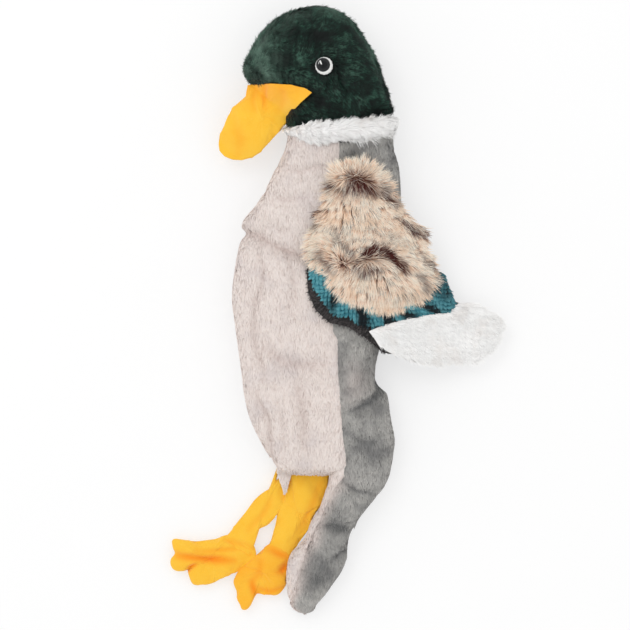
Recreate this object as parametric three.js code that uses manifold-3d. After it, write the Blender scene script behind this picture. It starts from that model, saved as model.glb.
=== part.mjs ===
// A plush mallard dog toy, lying on its right side as it is laid out flat on a table.
// Millimetres. +X is toward the duck's back, +Y toward its head, +Z up from the table,
// so the toy's left side faces up. Sewn panels are shells of plush cloth, and each limb
// turns on the seam that holds it.

import * as THREE from 'three';
import { mergeVertices } from 'three/addons/utils/BufferGeometryUtils.js';
import Module from 'manifold-3d';

const wasm = await Module();
wasm.setup();

// Cloth and fits
const clothThickness = 2.8;
const seamGap = 0.3;
const sewnGap = 0.4;
const seatFlat = 0.5;

// Head
const headCentre = new THREE.Vector2(0, 185);
const headThickness = 59;
const neckRadius = 54.3;
const neckArcStart = -35;
const neckArcEnd = -134;
const headNodLimits = { low: -24, high: 5, step: 10 };
const headSwellPower = 2.3;
const headEdgeRound = 0.55;
const headRim = 0.6;

// Bill
const billRootUpper = new THREE.Vector2(-70, 176);
const billRootLower = new THREE.Vector2(-39.5, 147);
const billKnuckleRadius = 7;
const billTipThickness = 8;
const billDroop = 13;
const billRimShare = 0.35;

// Eyes
const eyeCentre = new THREE.Vector2(-10.5, 189.5);
const eyeRingRadius = 7.2;
const pupilRadius = 5.4;
const eyeDepth = 1.6;
const eyeSink = 0.1;

// Squeakers
const headSqueaker = { x: -6, y: 192, radius: 17, height: 18, reedRadius: 4, reedLength: 8 };
const bodySqueaker = { x: -17, y: -72, radius: 21, height: 18, reedRadius: 4.5, reedLength: 9 };

// Body
const bodyEndY = -130;
const rumpSide = -5.2;

// Collar
const collar = { x: 3.5, y: 140, halfWidth: 41.5, halfHeight: 25, furDepth: 6.5, furWidth: 10, tilt: 7 };

// Wings
const liningThickness = 2.4;
const wingPadThickness = 4.6;
const wingRimThickness = 1.2;
const wingDroopStart = 15;
const wingDroopLength = 95;
const wingDroopHeight = 32;
const wingBedMargin = 1.2;

// Legs and tail
const legThickness = 11;
const tailThickness = 26;
const besideGap = 1;
const padRimShare = 0.3;

const rad = THREE.MathUtils.degToRad;
const point = (x, y) => new THREE.Vector2(x, y);
const pointsOf = (pairs) => pairs.map(([x, y]) => point(x, y));

const plush = (color, roughness = 0.95) => new THREE.MeshStandardMaterial({ color, roughness, metalness: 0 });
const materials = {
  greenPlush: plush(0x1f4a3c),
  orangeFleece: plush(0xfbc23f),
  whiteFur: plush(0xf0eeee),
  bellyPlush: plush(0xdcd2d0),
  greyPlush: plush(0x8e918e),
  tanFur: plush(0xe0c7a8),
  tealPlush: plush(0x23707c),
  darkLining: plush(0x4c4545),
  blackThread: plush(0x14181a, 0.6),
  whiteThread: plush(0xf4f4f2, 0.7),
  fibreFill: plush(0xf7f7f5),
  bulbPlastic: plush(0xe9e4d8, 0.45),
};

// Closed meshes and booleans

function solidFrom(vertices, triangles) {
  return new wasm.Manifold(new wasm.Mesh({
    numProp: 3,
    vertProperties: Float32Array.from(vertices.flat()),
    triVerts: Uint32Array.from(triangles.flat()),
  }));
}

function solidOf(geometry) {
  const bare = geometry.clone();
  bare.deleteAttribute('normal');
  bare.deleteAttribute('uv');
  const merged = mergeVertices(bare, 1e-4);
  return new wasm.Manifold(new wasm.Mesh({
    numProp: 3,
    vertProperties: Float32Array.from(merged.attributes.position.array),
    triVerts: Uint32Array.from(merged.index.array),
  }));
}

function meshOf(name, solid, material) {
  const found = solid.getMesh();
  const geometry = new THREE.BufferGeometry();
  geometry.setAttribute('position', new THREE.BufferAttribute(Float32Array.from(found.vertProperties), 3));
  geometry.setIndex(Array.from(found.triVerts));
  geometry.computeVertexNormals();
  const mesh = new THREE.Mesh(geometry, material);
  mesh.name = name;
  return mesh;
}

function counterClockwise(outline) {
  return THREE.ShapeUtils.area(outline) < 0 ? outline.slice().reverse() : outline;
}

// A smooth closed outline through a few points.
function roundOutline(pairs, count) {
  const curve = new THREE.CatmullRomCurve3(pairs.map(([x, y]) => new THREE.Vector3(x, y, 0)), true);
  const spaced = curve.getSpacedPoints(count).slice(0, count);
  return counterClockwise(spaced.map(({ x, y }) => point(x, y)));
}

function growOutline(outline, centre, grow) {
  return outline.map((place) => {
    const arm = place.clone().sub(centre);
    return arm.setLength(arm.length() + grow).add(centre);
  });
}

// An upright prism over an outline, between two heights.
function prism(outline, low, high) {
  const shape = new THREE.Shape(counterClockwise(outline));
  const geometry = new THREE.ExtrudeGeometry(shape, { depth: high - low, bevelEnabled: false });
  return solidOf(geometry.translate(0, 0, low));
}

// A prism through every height of the toy, and one with its sides moved out by a few shifts.
const lowest = -60;
const highest = 160;
const column = (outline) => prism(outline, lowest, highest);
const widened = (outline, shifts) => shifts.reduce(
  (sum, [x, y]) => sum.add(column(outline).translate([x, y, 0])), column(outline));

// Everything between two heights.
const farSide = 900;

function slab(low, high) {
  return solidOf(new THREE.BoxGeometry(farSide, farSide, high - low).translate(0, 0, (low + high) / 2));
}

// Everything on one side of an upright plane: the side that the direction points to.
function sideOf(origin, direction, reach = 400) {
  const box = new THREE.BoxGeometry(reach, 2 * reach, 2 * reach).translate(reach / 2, 0, 0);
  box.rotateZ(Math.atan2(direction.y, direction.x));
  return solidOf(box.translate(origin.x, origin.y, 0));
}

function bar(from, to, z, radius, overrun = 30) {
  const length = from.distanceTo(to) + 2 * overrun;
  const rod = new THREE.CylinderGeometry(radius, radius, length, 20);
  rod.rotateZ(Math.atan2(to.y - from.y, to.x - from.x) - Math.PI / 2);
  return solidOf(rod.translate((from.x + to.x) / 2, (from.y + to.y) / 2, z));
}

function upright(x, y, low, high, radius, sides = 20) {
  const rod = new THREE.CylinderGeometry(radius, radius, high - low, sides);
  return solidOf(rod.rotateX(Math.PI / 2).translate(x, y, (low + high) / 2));
}

const belowTable = slab(lowest, 0);

// A soft pad over an outline: rings from a centre to the rim, with a height above and
// below at each place. The share is 0 at the centre and 1 at the rim.
function pad({ outline, centre, rings, top, bottom }) {
  const count = outline.length;
  const vertices = [
    [centre.x, centre.y, top(centre.x, centre.y, 0)],
    [centre.x, centre.y, bottom(centre.x, centre.y, 0)],
  ];
  for (let ring = 1; ring <= rings; ring += 1) {
    const share = Math.sin((ring / rings) * Math.PI / 2);
    for (const rim of outline) {
      const x = centre.x + (rim.x - centre.x) * share;
      const y = centre.y + (rim.y - centre.y) * share;
      vertices.push([x, y, top(x, y, share)], [x, y, bottom(x, y, share)]);
    }
  }
  const at = (ring, step, side) => 2 + ((ring - 1) * count + (step % count)) * 2 + side;
  const triangles = [];
  for (let step = 0; step < count; step += 1) {
    triangles.push([0, at(1, step, 0), at(1, step + 1, 0)]);
    triangles.push([1, at(1, step + 1, 1), at(1, step, 1)]);
    for (let ring = 1; ring < rings; ring += 1) {
      for (const side of [0, 1]) {
        const [a, b] = [at(ring, step, side), at(ring + 1, step, side)];
        const [c, d] = [at(ring + 1, step + 1, side), at(ring, step + 1, side)];
        if (side === 0) triangles.push([a, b, c], [a, c, d]);
        else triangles.push([a, c, b], [a, d, c]);
      }
    }
    const rim = [at(rings, step, 0), at(rings, step, 1), at(rings, step + 1, 1), at(rings, step + 1, 0)];
    triangles.push([rim[0], rim[1], rim[2]], [rim[0], rim[2], rim[3]]);
  }
  return solidFrom(vertices, triangles);
}

// Faces along and around a form: the outside is finer than the hollow inside it.
const outside = { slices: 18, sides: 22, tailSlices: 12, rings: 5, crown: 22 };
const inside = { slices: 12, sides: 16, tailSlices: 8, rings: 4, crown: 15 };
const detailOf = (inset) => (inset > 0 ? inside : outside);

// A stuffed tube through stations along Y. Each station gives y, left, right, lowest and
// highest, and its section is a squared-off ellipse.
const sectionPower = 2.5;

function stationCurves(stations) {
  const edge = (side, height) => new THREE.CatmullRomCurve3(
    stations.map((row) => new THREE.Vector3(row[side], row[0], row[height])), false, 'catmullrom', 0.5);
  return { low: edge(1, 3), high: edge(2, 4) };
}

function sectionsOf(stations, slices, grow) {
  const curves = stationCurves(stations);
  return Array.from({ length: slices + 1 }, (_, slice) => {
    const low = curves.low.getPoint(slice / slices);
    const high = curves.high.getPoint(slice / slices);
    return {
      y: low.y,
      x: (low.x + high.x) / 2,
      z: (low.z + high.z) / 2,
      halfWidth: (high.x - low.x) / 2 + grow,
      halfHeight: (high.z - low.z) / 2 + grow,
    };
  });
}

function tube({ stations, slices, sides, grow = 0 }) {
  const sections = sectionsOf(stations, slices, grow);
  const squared = (value) => Math.sign(value) * Math.abs(value) ** (2 / sectionPower);
  const vertices = [];
  for (const { x, y, z, halfWidth, halfHeight } of sections) {
    for (let side = 0; side < sides; side += 1) {
      const turn = (side / sides) * 2 * Math.PI;
      vertices.push([x + halfWidth * squared(Math.cos(turn)), y, z + halfHeight * squared(Math.sin(turn))]);
    }
  }
  const first = sections[0];
  const last = sections[slices];
  vertices.push([first.x, first.y, first.z], [last.x, last.y, last.z]);
  const at = (slice, side) => slice * sides + (side % sides);
  const triangles = [];
  for (let side = 0; side < sides; side += 1) {
    triangles.push([vertices.length - 2, at(0, side), at(0, side + 1)]);
    triangles.push([vertices.length - 1, at(slices, side + 1), at(slices, side)]);
    for (let slice = 0; slice < slices; slice += 1) {
      const [a, b] = [at(slice, side), at(slice, side + 1)];
      const [c, d] = [at(slice + 1, side + 1), at(slice + 1, side)];
      triangles.push([a, c, b], [a, d, c]);
    }
  }
  return solidFrom(vertices, triangles);
}

// The space above and below a tube, a little wider than the tube.
function shadowOf(stations, grow) {
  const sections = sectionsOf(stations, outside.tailSlices, grow);
  const edge = (side) => sections.map(({ x, y, halfWidth }) => point(x + side * halfWidth, y));
  return column([...edge(-1), ...edge(1).reverse()]);
}

// The rounded root of a limb: past its axis only a bar's round is left.
function roundRoot(limb, axis, outward, radius) {
  const inner = sideOf(axis.from, outward.clone().negate());
  return limb.subtract(inner.subtract(bar(axis.from, axis.to, axis.z, radius)));
}

// Head

const crownPoints = pointsOf([
  [-70, 176], [-75, 188], [-70, 201], [-58, 220], [-40, 233], [-17, 238.5],
  [3, 233], [19, 218], [32, 196], [40, 172], [44.5, 154],
]);

function headOutline(inset) {
  const curve = new THREE.SplineCurve(crownPoints);
  const crown = curve.getSpacedPoints(detailOf(inset).crown);
  const nape = [];
  for (let turn = neckArcStart - 9; turn >= neckArcEnd; turn -= 9) {
    nape.push(point(Math.cos(rad(turn)), Math.sin(rad(turn))).multiplyScalar(neckRadius).add(headCentre));
  }
  return growOutline(counterClockwise([...crown, ...nape]), headCentre, -inset);
}

const headMiddleZ = headThickness / 2;

function headSolid(inset) {
  const halfThickness = headThickness / 2 + seatFlat - inset;
  const swell = (share) => halfThickness * (1 - share ** headSwellPower) ** headEdgeRound + headRim;
  return pad({
    outline: headOutline(inset),
    centre: headCentre,
    rings: detailOf(inset).rings,
    top: (x, y, share) => headMiddleZ + swell(share),
    bottom: (x, y, share) => headMiddleZ - swell(share),
  });
}

const billLine = billRootLower.clone().sub(billRootUpper).normalize();
const billOutward = point(billLine.y, -billLine.x);
const upperHalf = slab(headMiddleZ + seamGap / 2, highest);
const lowerHalf = slab(lowest, headMiddleZ - seamGap / 2);

// The orange face runs from the bill's root to a point below the eye.
const faceSeam = pointsOf([
  [-100, 176.3], [-52, 177.2], [-36, 175.5], [-18.5, 168.5], [-32, 156.5], [-40, 146], [-60, 120],
  [-100, 120],
]);

function nodSweep(solid) {
  let swept = solid;
  for (let turn = headNodLimits.low; turn <= headNodLimits.high; turn += headNodLimits.step) {
    const turned = solid.translate([-headCentre.x, -headCentre.y, 0]).rotate([0, 0, turn]);
    swept = swept.add(turned.translate([headCentre.x, headCentre.y, 0]));
  }
  return swept;
}

function eyePocket(side, grow) {
  const surface = side > 0 ? headThickness : 0;
  const ends = [surface - side * (eyeDepth + grow), surface + side * clothThickness];
  return upright(eyeCentre.x, eyeCentre.y, Math.min(...ends), Math.max(...ends), eyeRingRadius + grow);
}

function makeHead() {
  const face = sideOf(billRootUpper, billOutward);
  const innerFace = billRootUpper.clone().addScaledVector(billOutward, -clothThickness);
  const inner = headSolid(clothThickness).subtract(sideOf(innerFace, billOutward));
  const shell = headSolid(0).subtract(face).subtract(belowTable).subtract(inner);
  const region = column(faceSeam);
  const regionWide = widened(faceSeam, [[seamGap * 1.4, 0], [0, seamGap], [0, -seamGap]]);
  const pieces = [];
  for (const [name, half, side] of [['left', upperHalf, 1], ['right', lowerHalf, -1]]) {
    const panel = shell.intersect(half).subtract(eyePocket(side, seamGap));
    pieces.push(meshOf(`head_${name}_panel`, panel.subtract(regionWide), materials.greenPlush));
    pieces.push(meshOf(`face_${name}_panel`, panel.intersect(region), materials.orangeFleece));
  }
  return pieces;
}

function makeEye(name, side) {
  const surface = side > 0 ? headThickness - eyeSink : eyeSink;
  const floor = surface - side * eyeDepth;
  const [low, high] = [Math.min(floor, surface), Math.max(floor, surface)];
  const ring = upright(eyeCentre.x, eyeCentre.y, low, high, eyeRingRadius)
    .subtract(upright(eyeCentre.x, eyeCentre.y, low - 1, high + 1, pupilRadius + seamGap));
  const pupil = upright(eyeCentre.x, eyeCentre.y, low, high, pupilRadius);
  return [
    meshOf(`eye_${name}_ring`, ring, materials.whiteThread),
    meshOf(`eye_${name}_pupil`, pupil, materials.blackThread),
  ];
}

function squeakerBulb({ radius, height }) {
  const half = height / 2;
  const waist = [[0, -half], [radius * 0.55, -half], [radius * 0.9, -half * 0.7], [radius, -half * 0.25]];
  const profile = [...waist, ...waist.map(([r, z]) => [r, -z]).reverse()].map(([r, z]) => point(r, z));
  return solidOf(new THREE.LatheGeometry(profile, 20).rotateX(Math.PI / 2));
}

// A round bulb with a reed pressed into its crown.
function makeSqueaker(name, sizes, z) {
  const { x, y, height, reedRadius, reedLength } = sizes;
  const crown = z + height / 2;
  const bore = upright(x, y, crown - reedLength - seamGap, crown + 5, reedRadius + seamGap, 16);
  const bulb = squeakerBulb(sizes).translate([x, y, z]).subtract(bore);
  const reed = upright(x, y, crown - reedLength, crown, reedRadius, 16);
  return [
    meshOf(`${name}_squeaker_bulb`, bulb, materials.bulbPlastic),
    meshOf(`${name}_squeaker_reed`, reed, materials.bulbPlastic),
  ];
}

function makeHeadFilling() {
  const inset = clothThickness + sewnGap;
  const { x, y, radius, height } = headSqueaker;
  const reach = height / 2 + seamGap;
  const pocket = upright(x, y, headMiddleZ - reach, headMiddleZ + reach, radius + seamGap);
  const wad = headSolid(inset)
    .subtract(sideOf(billRootUpper.clone().addScaledVector(billOutward, -inset), billOutward))
    .subtract(slab(lowest, inset))
    .subtract(eyePocket(1, inset)).subtract(eyePocket(-1, inset))
    .subtract(pocket);
  return [
    meshOf('head_filling_left', wad.intersect(upperHalf), materials.fibreFill),
    meshOf('head_filling_right', wad.intersect(lowerHalf), materials.fibreFill),
  ];
}

// Bill

const billPoints = [
  [-67, 179], [-73.5, 166], [-84.8, 153.5], [-91.2, 139], [-93, 128], [-87.5, 118.8], [-75, 117.2],
  [-62, 122], [-52.5, 134.5], [-44, 150],
];
const billCentre = point(-68, 146);
const billLength = 48;

const billAxis = {
  from: billRootUpper.clone().addScaledVector(billOutward, billKnuckleRadius + seamGap),
  to: billRootLower.clone().addScaledVector(billOutward, billKnuckleRadius + seamGap),
  z: headMiddleZ,
};

// A pad's thickness at a place: all of it at the centre, and the rim's share at the rim.
const padRound = (share, rimShare) => rimShare + (1 - rimShare) * Math.sqrt(Math.max(0, 1 - share ** 3));

const billReach = (x, y) => Math.max(0, point(x, y).sub(billAxis.from).dot(billOutward)) / billLength;
const billMiddle = (x, y) => headMiddleZ - billDroop * billReach(x, y) ** 1.5;

function billSolid(grow) {
  const half = (x, y, share) => {
    const along = Math.min(1, billReach(x, y));
    const full = THREE.MathUtils.lerp(billKnuckleRadius - 0.2, billTipThickness / 2, along);
    return full * padRound(share, billRimShare) + grow;
  };
  const whole = pad({
    outline: growOutline(roundOutline(billPoints, 26), billCentre, grow),
    centre: billCentre,
    rings: 4,
    top: (x, y, share) => billMiddle(x, y) + half(x, y, share),
    bottom: (x, y, share) => billMiddle(x, y) - half(x, y, share),
  });
  return roundRoot(whole, billAxis, billOutward, billKnuckleRadius + grow);
}

function makeBill() {
  const bill = billSolid(0);
  const parting = pad({
    outline: growOutline(roundOutline(billPoints, 26), billCentre, 15),
    centre: billCentre,
    rings: 5,
    top: (x, y) => billMiddle(x, y) + headThickness,
    bottom: (x, y) => billMiddle(x, y) + seamGap / 2,
  });
  const under = parting.translate([0, 0, -seamGap]);
  return [
    meshOf('bill_left_panel', bill.intersect(parting), materials.orangeFleece),
    meshOf('bill_right_panel', bill.subtract(under), materials.orangeFleece),
  ];
}

// Body

const torsoStations = [
  [-150, -38, 40, -seatFlat, 20],
  [-130, -45.5, 43.5, -seatFlat, 27],
  [-109, -58, 45.5, -seatFlat, 33],
  [-88, -68.2, 43.2, -seatFlat, 35.5],
  [-67, -73.4, 41, -seatFlat, 36],
  [-47, -75.6, 33.5, -seatFlat, 36.5],
  [-20, -79.5, 39, -seatFlat, 38],
  [5, -83, 44, -seatFlat, 39],
  [32, -81.5, 48, -seatFlat, 40],
  [62, -75.5, 51, -seatFlat, 41],
  [86, -62.5, 51, 0, 42],
  [110, -49.5, 49.5, 4, 44],
  [128, -40.5, 45.5, 8, 46],
  [143, -38.6, 43.5, 11.5, 47.5],
  [160, -38.3, 43.5, 12.5, 46.5],
];

const rumpStations = [
  [-185, -33, 10, -seatFlat, 25],
  [-170, -22, 16, -seatFlat, 26],
  [-158, -14.5, 24.5, -seatFlat, 27],
  [-146, rumpSide - 4.5, 34.5, -seatFlat, 28.5],
  [-134, rumpSide - 0.8, 41, -seatFlat, 29],
  [-118, rumpSide, 44, -seatFlat, 30],
];

const tailAxis = { from: point(-19.5, -157), to: point(14.5, -172), z: tailThickness / 2 };
const tailLine = tailAxis.to.clone().sub(tailAxis.from).normalize();
const tailOutward = point(tailLine.y, -tailLine.x);

// The seam between the pale underside and the grey back, from the neck to the tail's tip.
const sideSeam = pointsOf([
  [1, 200], [0.5, 128.5], [-1, 114], [-4, 104.5], [-4.5, 40], [-3.5, -13], [0, -25], [0.5, -45],
  [2.5, -75], [4.5, -105], [5, -130], [-4.5, -145], [-14.5, -167], [-23, -187], [-29.5, -207],
  [-33.5, -221], [-36, -228], [-40, -260],
]);

function seamCurtain(shift) {
  const edge = sideSeam.map((place) => point(place.x + shift, place.y));
  return column([point(-farSide, 200), ...edge, point(-farSide, -260)]);
}

const wingPoints = [
  [4, 113], [16, 114.5], [29, 109.5], [45, 92.5], [53, 80], [68, 62.5], [75, 42], [83, 26], [89.5, 14],
  [93.5, 5], [112, 1.5], [125, -4.5], [131, -12], [127, -21], [117, -36.5], [106, -43.5], [84, -44.3],
  [64, -44], [50, -38], [36, -35.5], [22, -23], [9, -15], [-6, -11.5], [-17, -1.5], [-22.5, 12], [-24, 29],
  [-20, 48], [-16.5, 65], [-8, 85], [-3.5, 101],
];
const wingCentre = point(45, 0);
const wingLift = liningThickness + wingPadThickness + seamGap + sewnGap;

// The bed that the folded wing below the body leaves in its underside.
function wingBed(grow) {
  const outline = growOutline(roundOutline(wingPoints, 40), wingCentre, wingBedMargin + grow);
  return prism(outline, lowest, wingLift + grow);
}

const torsoTube = (inset) => tube({ stations: torsoStations, ...detailOf(inset), grow: -inset });
const rumpTube = (inset) => tube({ stations: rumpStations, ...detailOf(inset), slices: 7, grow: -inset });

function bodySolid(inset) {
  const torso = torsoTube(inset)
    .subtract(sideOf(point(0, bodyEndY + inset), point(0, -1)));
  const tailWall = tailAxis.from.clone().addScaledVector(tailOutward, -tailThickness / 2 - seamGap - inset);
  const neckCut = upright(headCentre.x, headCentre.y, lowest, highest, neckRadius + sewnGap + inset, 48);
  return torso.add(rumpTube(inset))
    .subtract(sideOf(tailWall, tailOutward))
    .subtract(neckCut)
    .subtract(slab(lowest, Math.max(inset, 0)));
}

function makeBody() {
  const cavity = bodySolid(clothThickness).subtract(wingBed(clothThickness));
  const shell = bodySolid(0).subtract(wingBed(0)).subtract(cavity);
  return [
    meshOf('belly_panel', shell.intersect(seamCurtain(-seamGap / 2)), materials.bellyPlush),
    meshOf('back_panel', shell.subtract(seamCurtain(seamGap / 2)), materials.greyPlush),
  ];
}

// Collar: a ring of long fur sewn over the neck seam.
function makeCollar() {
  const around = 32;
  const across = 6;
  const vertices = [];
  for (let step = 0; step < around; step += 1) {
    const turn = (step / around) * 2 * Math.PI;
    const ringX = Math.cos(turn) * (collar.halfWidth - collar.furDepth / 2);
    const ringZ = Math.sin(turn) * (collar.halfHeight + collar.furDepth / 2);
    for (let side = 0; side < across; side += 1) {
      const roll = (side / across) * 2 * Math.PI;
      const out = Math.cos(roll) * collar.furDepth;
      const along = Math.sin(roll) * collar.furWidth;
      const x = collar.x + ringX + out * Math.cos(turn);
      const z = headMiddleZ + ringZ + out * Math.sin(turn);
      const y = collar.y + along + (x - collar.x) * Math.tan(rad(collar.tilt));
      vertices.push([x, y, Math.min(z, headThickness)]);
    }
  }
  const at = (step, side) => (step % around) * across + (side % across);
  const triangles = [];
  for (let step = 0; step < around; step += 1) {
    for (let side = 0; side < across; side += 1) {
      const [a, b] = [at(step, side), at(step + 1, side)];
      const [c, d] = [at(step + 1, side + 1), at(step, side + 1)];
      triangles.push([a, c, b], [a, d, c]);
    }
  }
  const ring = solidFrom(vertices, triangles);
  const clear = nodSweep(headSolid(-sewnGap).add(billSolid(sewnGap))).add(torsoTube(-sewnGap));
  return meshOf('collar', ring.subtract(clear).subtract(belowTable), materials.whiteFur);
}

// Wings

const bodySections = sectionsOf(torsoStations, 160, 0);

function bodyTop(x, y) {
  const index = Math.max(1, bodySections.findIndex((section) => section.y >= y));
  const [below, above] = [bodySections[index - 1], bodySections[index]];
  const mix = THREE.MathUtils.clamp((y - below.y) / (above.y - below.y), 0, 1);
  const between = (key) => THREE.MathUtils.lerp(below[key], above[key], mix);
  const across = Math.abs((x - between('x')) / between('halfWidth'));
  if (across >= 1) return 0;
  return between('z') + between('halfHeight') * (1 - across ** sectionPower) ** (1 / sectionPower);
}

// The upper wing lies on the body and falls over the back to the wing below it.
function wingRest(x, y) {
  const fall = THREE.MathUtils.clamp((x - wingDroopStart) / wingDroopLength, 0, 1);
  const droop = wingLift + sewnGap + wingDroopHeight * (0.5 + 0.5 * Math.cos(fall * Math.PI));
  return Math.max(bodyTop(x, y) + sewnGap, droop);
}

const covertRegion = pointsOf([
  [-60, 130], [110, 130], [110, 30], [81, 28.5], [76.5, 20], [70, 14], [65.5, 4.5], [54.5, 2], [35.5, -0.5],
  [21, 3.5], [9, 10.5], [-1, 20], [-8, 27.5], [-14, 32.5], [-20, 36.5], [-60, 38],
]);
const tipRegion = pointsOf([
  [25, -18], [28, -22], [35.5, -28.5], [43, -33.5], [53, -38], [58, -70], [160, -70], [160, 14], [94.5, 12],
  [92, 0], [83.5, -4], [69, -6], [59.5, -8], [47.5, -10.5], [35.5, -14],
]);
const bandRegion = pointsOf([
  [-60, 60], [-60, 18], [-22.5, 17], [-15, 3], [-8.5, -7.5], [3, -10.5], [11, -13.5], [20, -19], [26, -19],
  [60, -30], [160, -30], [160, 60],
]);

function makeWing(name, side) {
  const outline = roundOutline(wingPoints, 44);
  const rest = side > 0 ? wingRest : () => wingLift - sewnGap;
  const padDepth = (share) => wingRimThickness + (wingPadThickness - wingRimThickness) * (1 - share ** 4);
  const layer = (near, far) => pad({
    outline,
    centre: wingCentre,
    rings: 5,
    top: (x, y, share) => rest(x, y) + (side > 0 ? far(share) : -near(share)),
    bottom: (x, y, share) => rest(x, y) + (side > 0 ? near(share) : -far(share)),
  });
  const clearOfBody = bodySolid(-seamGap);
  const lining = layer(() => 0, () => liningThickness);
  const padStart = liningThickness + seamGap;
  const padding = layer(() => padStart, (share) => padStart + padDepth(share));
  const seated = (solid) => (side > 0 ? solid.subtract(clearOfBody) : solid);
  const [covert, tip, band] = [covertRegion, tipRegion, bandRegion].map((region) => column(region));
  const covertWide = widened(covertRegion, [[0, -seamGap], [-seamGap, 0]]);
  const tipWide = widened(tipRegion, [[0, seamGap], [-seamGap, 0]]);
  const bandPad = padding.intersect(band).subtract(covertWide).subtract(tipWide);
  return [
    meshOf(`${name}_lining`, seated(lining), materials.darkLining),
    meshOf(`${name}_covert`, seated(padding.intersect(covert).subtract(tip)), materials.tanFur),
    meshOf(`${name}_band`, seated(bandPad), materials.tealPlush),
    meshOf(`${name}_tip`, seated(padding.intersect(tip).subtract(covertWide)), materials.whiteFur),
  ];
}

// Legs and feet

function softPad({ points, count, centre }) {
  const middle = legThickness / 2;
  const half = (share) => middle * padRound(share, padRimShare);
  return pad({
    outline: roundOutline(points, count),
    centre,
    rings: 3,
    top: (x, y, share) => middle + half(share),
    bottom: (x, y, share) => Math.max(0, middle - half(share) - seatFlat),
  });
}

const hipAxis = {
  from: point(-60, bodyEndY - seamGap - legThickness / 2),
  to: point(0, bodyEndY - seamGap - legThickness / 2),
  z: legThickness / 2,
};
const hipOutward = point(0, -1);

const leftLegPoints = [
  [-37, -122], [-38.5, -141], [-46, -158], [-48.5, -172], [-53.5, -189], [-57, -203], [-38, -206],
  [-29, -186], [-19, -167], [-11, -153], [-7, -138], [-6, -122], [-21, -119],
];
const leftFootPoints = [
  [-53, -184], [-66, -198], [-79, -211], [-81, -220], [-79, -231], [-74.5, -239], [-69, -236], [-64.5, -228],
  [-54, -227.5], [-46.5, -225.5], [-42.5, -217], [-41.5, -206], [-35, -194],
];
const rightLegPoints = [
  [-48, -121], [-48.3, -134], [-53, -143.5], [-65, -152], [-77, -168], [-89, -180], [-96, -191],
  [-74, -204], [-65.5, -192], [-62, -177], [-50, -166.5], [-42.5, -149], [-39, -134], [-38.6, -121],
];
const rightFootPoints = [
  [-84, -177.5], [-96, -183], [-112, -185], [-127, -183.2], [-130.7, -188], [-129, -195], [-131.5, -201],
  [-128, -207.5], [-118.5, -208], [-115.5, -216], [-108.5, -219.5], [-97, -217], [-83.5, -211],
  [-72, -205], [-62, -196],
];

const leftLegShape = { points: leftLegPoints, count: 24, centre: point(-33, -162) };
const leftFootShape = { points: leftFootPoints, count: 36, centre: point(-58, -210) };
const rightLegShape = { points: rightLegPoints, count: 24, centre: point(-62, -163) };
const rightFootShape = { points: rightFootPoints, count: 36, centre: point(-102, -199) };

const leftAnkle = { from: point(-54.5, -191.5), to: point(-36.5, -196), z: legThickness / 2 };
const rightAnkle = { from: point(-88.5, -181.5), to: point(-66.5, -197), z: legThickness / 2 };

function outwardOf({ from, to }) {
  const along = to.clone().sub(from).normalize();
  return point(along.y, -along.x);
}

function makeLegs() {
  const radius = legThickness / 2;
  const ankleWall = (ankle) => sideOf(
    ankle.from.clone().addScaledVector(outwardOf(ankle), -radius - seamGap), outwardOf(ankle));
  const legFrom = (shape) => roundRoot(softPad(shape), hipAxis, hipOutward, radius);
  const footFrom = (shape, ankle) => roundRoot(softPad(shape), ankle, outwardOf(ankle), radius);
  const aroundOf = ({ points, count, centre }) => column(
    growOutline(roundOutline(points, count), centre, besideGap));
  const tail = shadowOf(rumpStations, besideGap).add(shadowOf(tailStations, besideGap));
  const beside = aroundOf(leftLegShape).add(aroundOf(leftFootShape));
  const leftLeg = legFrom(leftLegShape).subtract(ankleWall(leftAnkle)).subtract(tail);
  const leftFoot = footFrom(leftFootShape, leftAnkle).subtract(tail);
  const rightLeg = legFrom(rightLegShape).subtract(ankleWall(rightAnkle)).subtract(beside);
  const rightFoot = footFrom(rightFootShape, rightAnkle).subtract(beside);
  return [
    meshOf('leg_left', leftLeg, materials.orangeFleece),
    meshOf('foot_left', leftFoot, materials.orangeFleece),
    meshOf('leg_right', rightLeg, materials.orangeFleece),
    meshOf('foot_right', rightFoot, materials.orangeFleece),
  ];
}

// Tail

const tailStations = [
  [-241.5, -28, -24.5, 4, 9],
  [-239.5, -34, -18.5, 0, 13],
  [-233, -38, -13.5, -seatFlat, 17],
  [-222, -39.5, -5.5, -seatFlat, 20],
  [-208, -39.8, 3, -seatFlat, 22.5],
  [-195, -37, 8.2, -seatFlat, 24],
  [-182, -28, 10.5, -seatFlat, 25],
  [-168, -20.5, 16.5, -seatFlat, 26],
  [-156, -13, 25.5, -seatFlat, 26],
  [-140, -7, 35.5, -seatFlat, 26],
];

function tailSolid(inset) {
  const { sides, tailSlices } = detailOf(inset);
  const whole = tube({ stations: tailStations, slices: tailSlices, sides, grow: -inset });
  const table = slab(lowest, Math.max(inset, 0));
  return roundRoot(whole, tailAxis, tailOutward, tailThickness / 2 - inset).subtract(table);
}

function makeTail() {
  const shell = tailSolid(0).subtract(tailSolid(clothThickness));
  return [
    meshOf('tail_top_panel', shell.subtract(seamCurtain(seamGap / 2)), materials.greyPlush),
    meshOf('tail_under_panel', shell.intersect(seamCurtain(-seamGap / 2)), materials.bellyPlush),
  ];
}

// The whole toy, with its origin on the table under the middle of its box

const toy = new THREE.Group();
toy.add(...makeHead());
toy.add(...makeHeadFilling());
toy.add(...makeSqueaker('head', headSqueaker, headMiddleZ));
toy.add(...makeEye('left', 1), ...makeEye('right', -1));
toy.add(...makeBill());
toy.add(makeCollar());
toy.add(...makeBody());
toy.add(...makeSqueaker('body', bodySqueaker, clothThickness + 3 * seamGap + bodySqueaker.height / 2));
toy.add(...makeWing('wing_left', 1), ...makeWing('wing_right', -1));
toy.add(...makeLegs());
toy.add(...makeTail());

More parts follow.
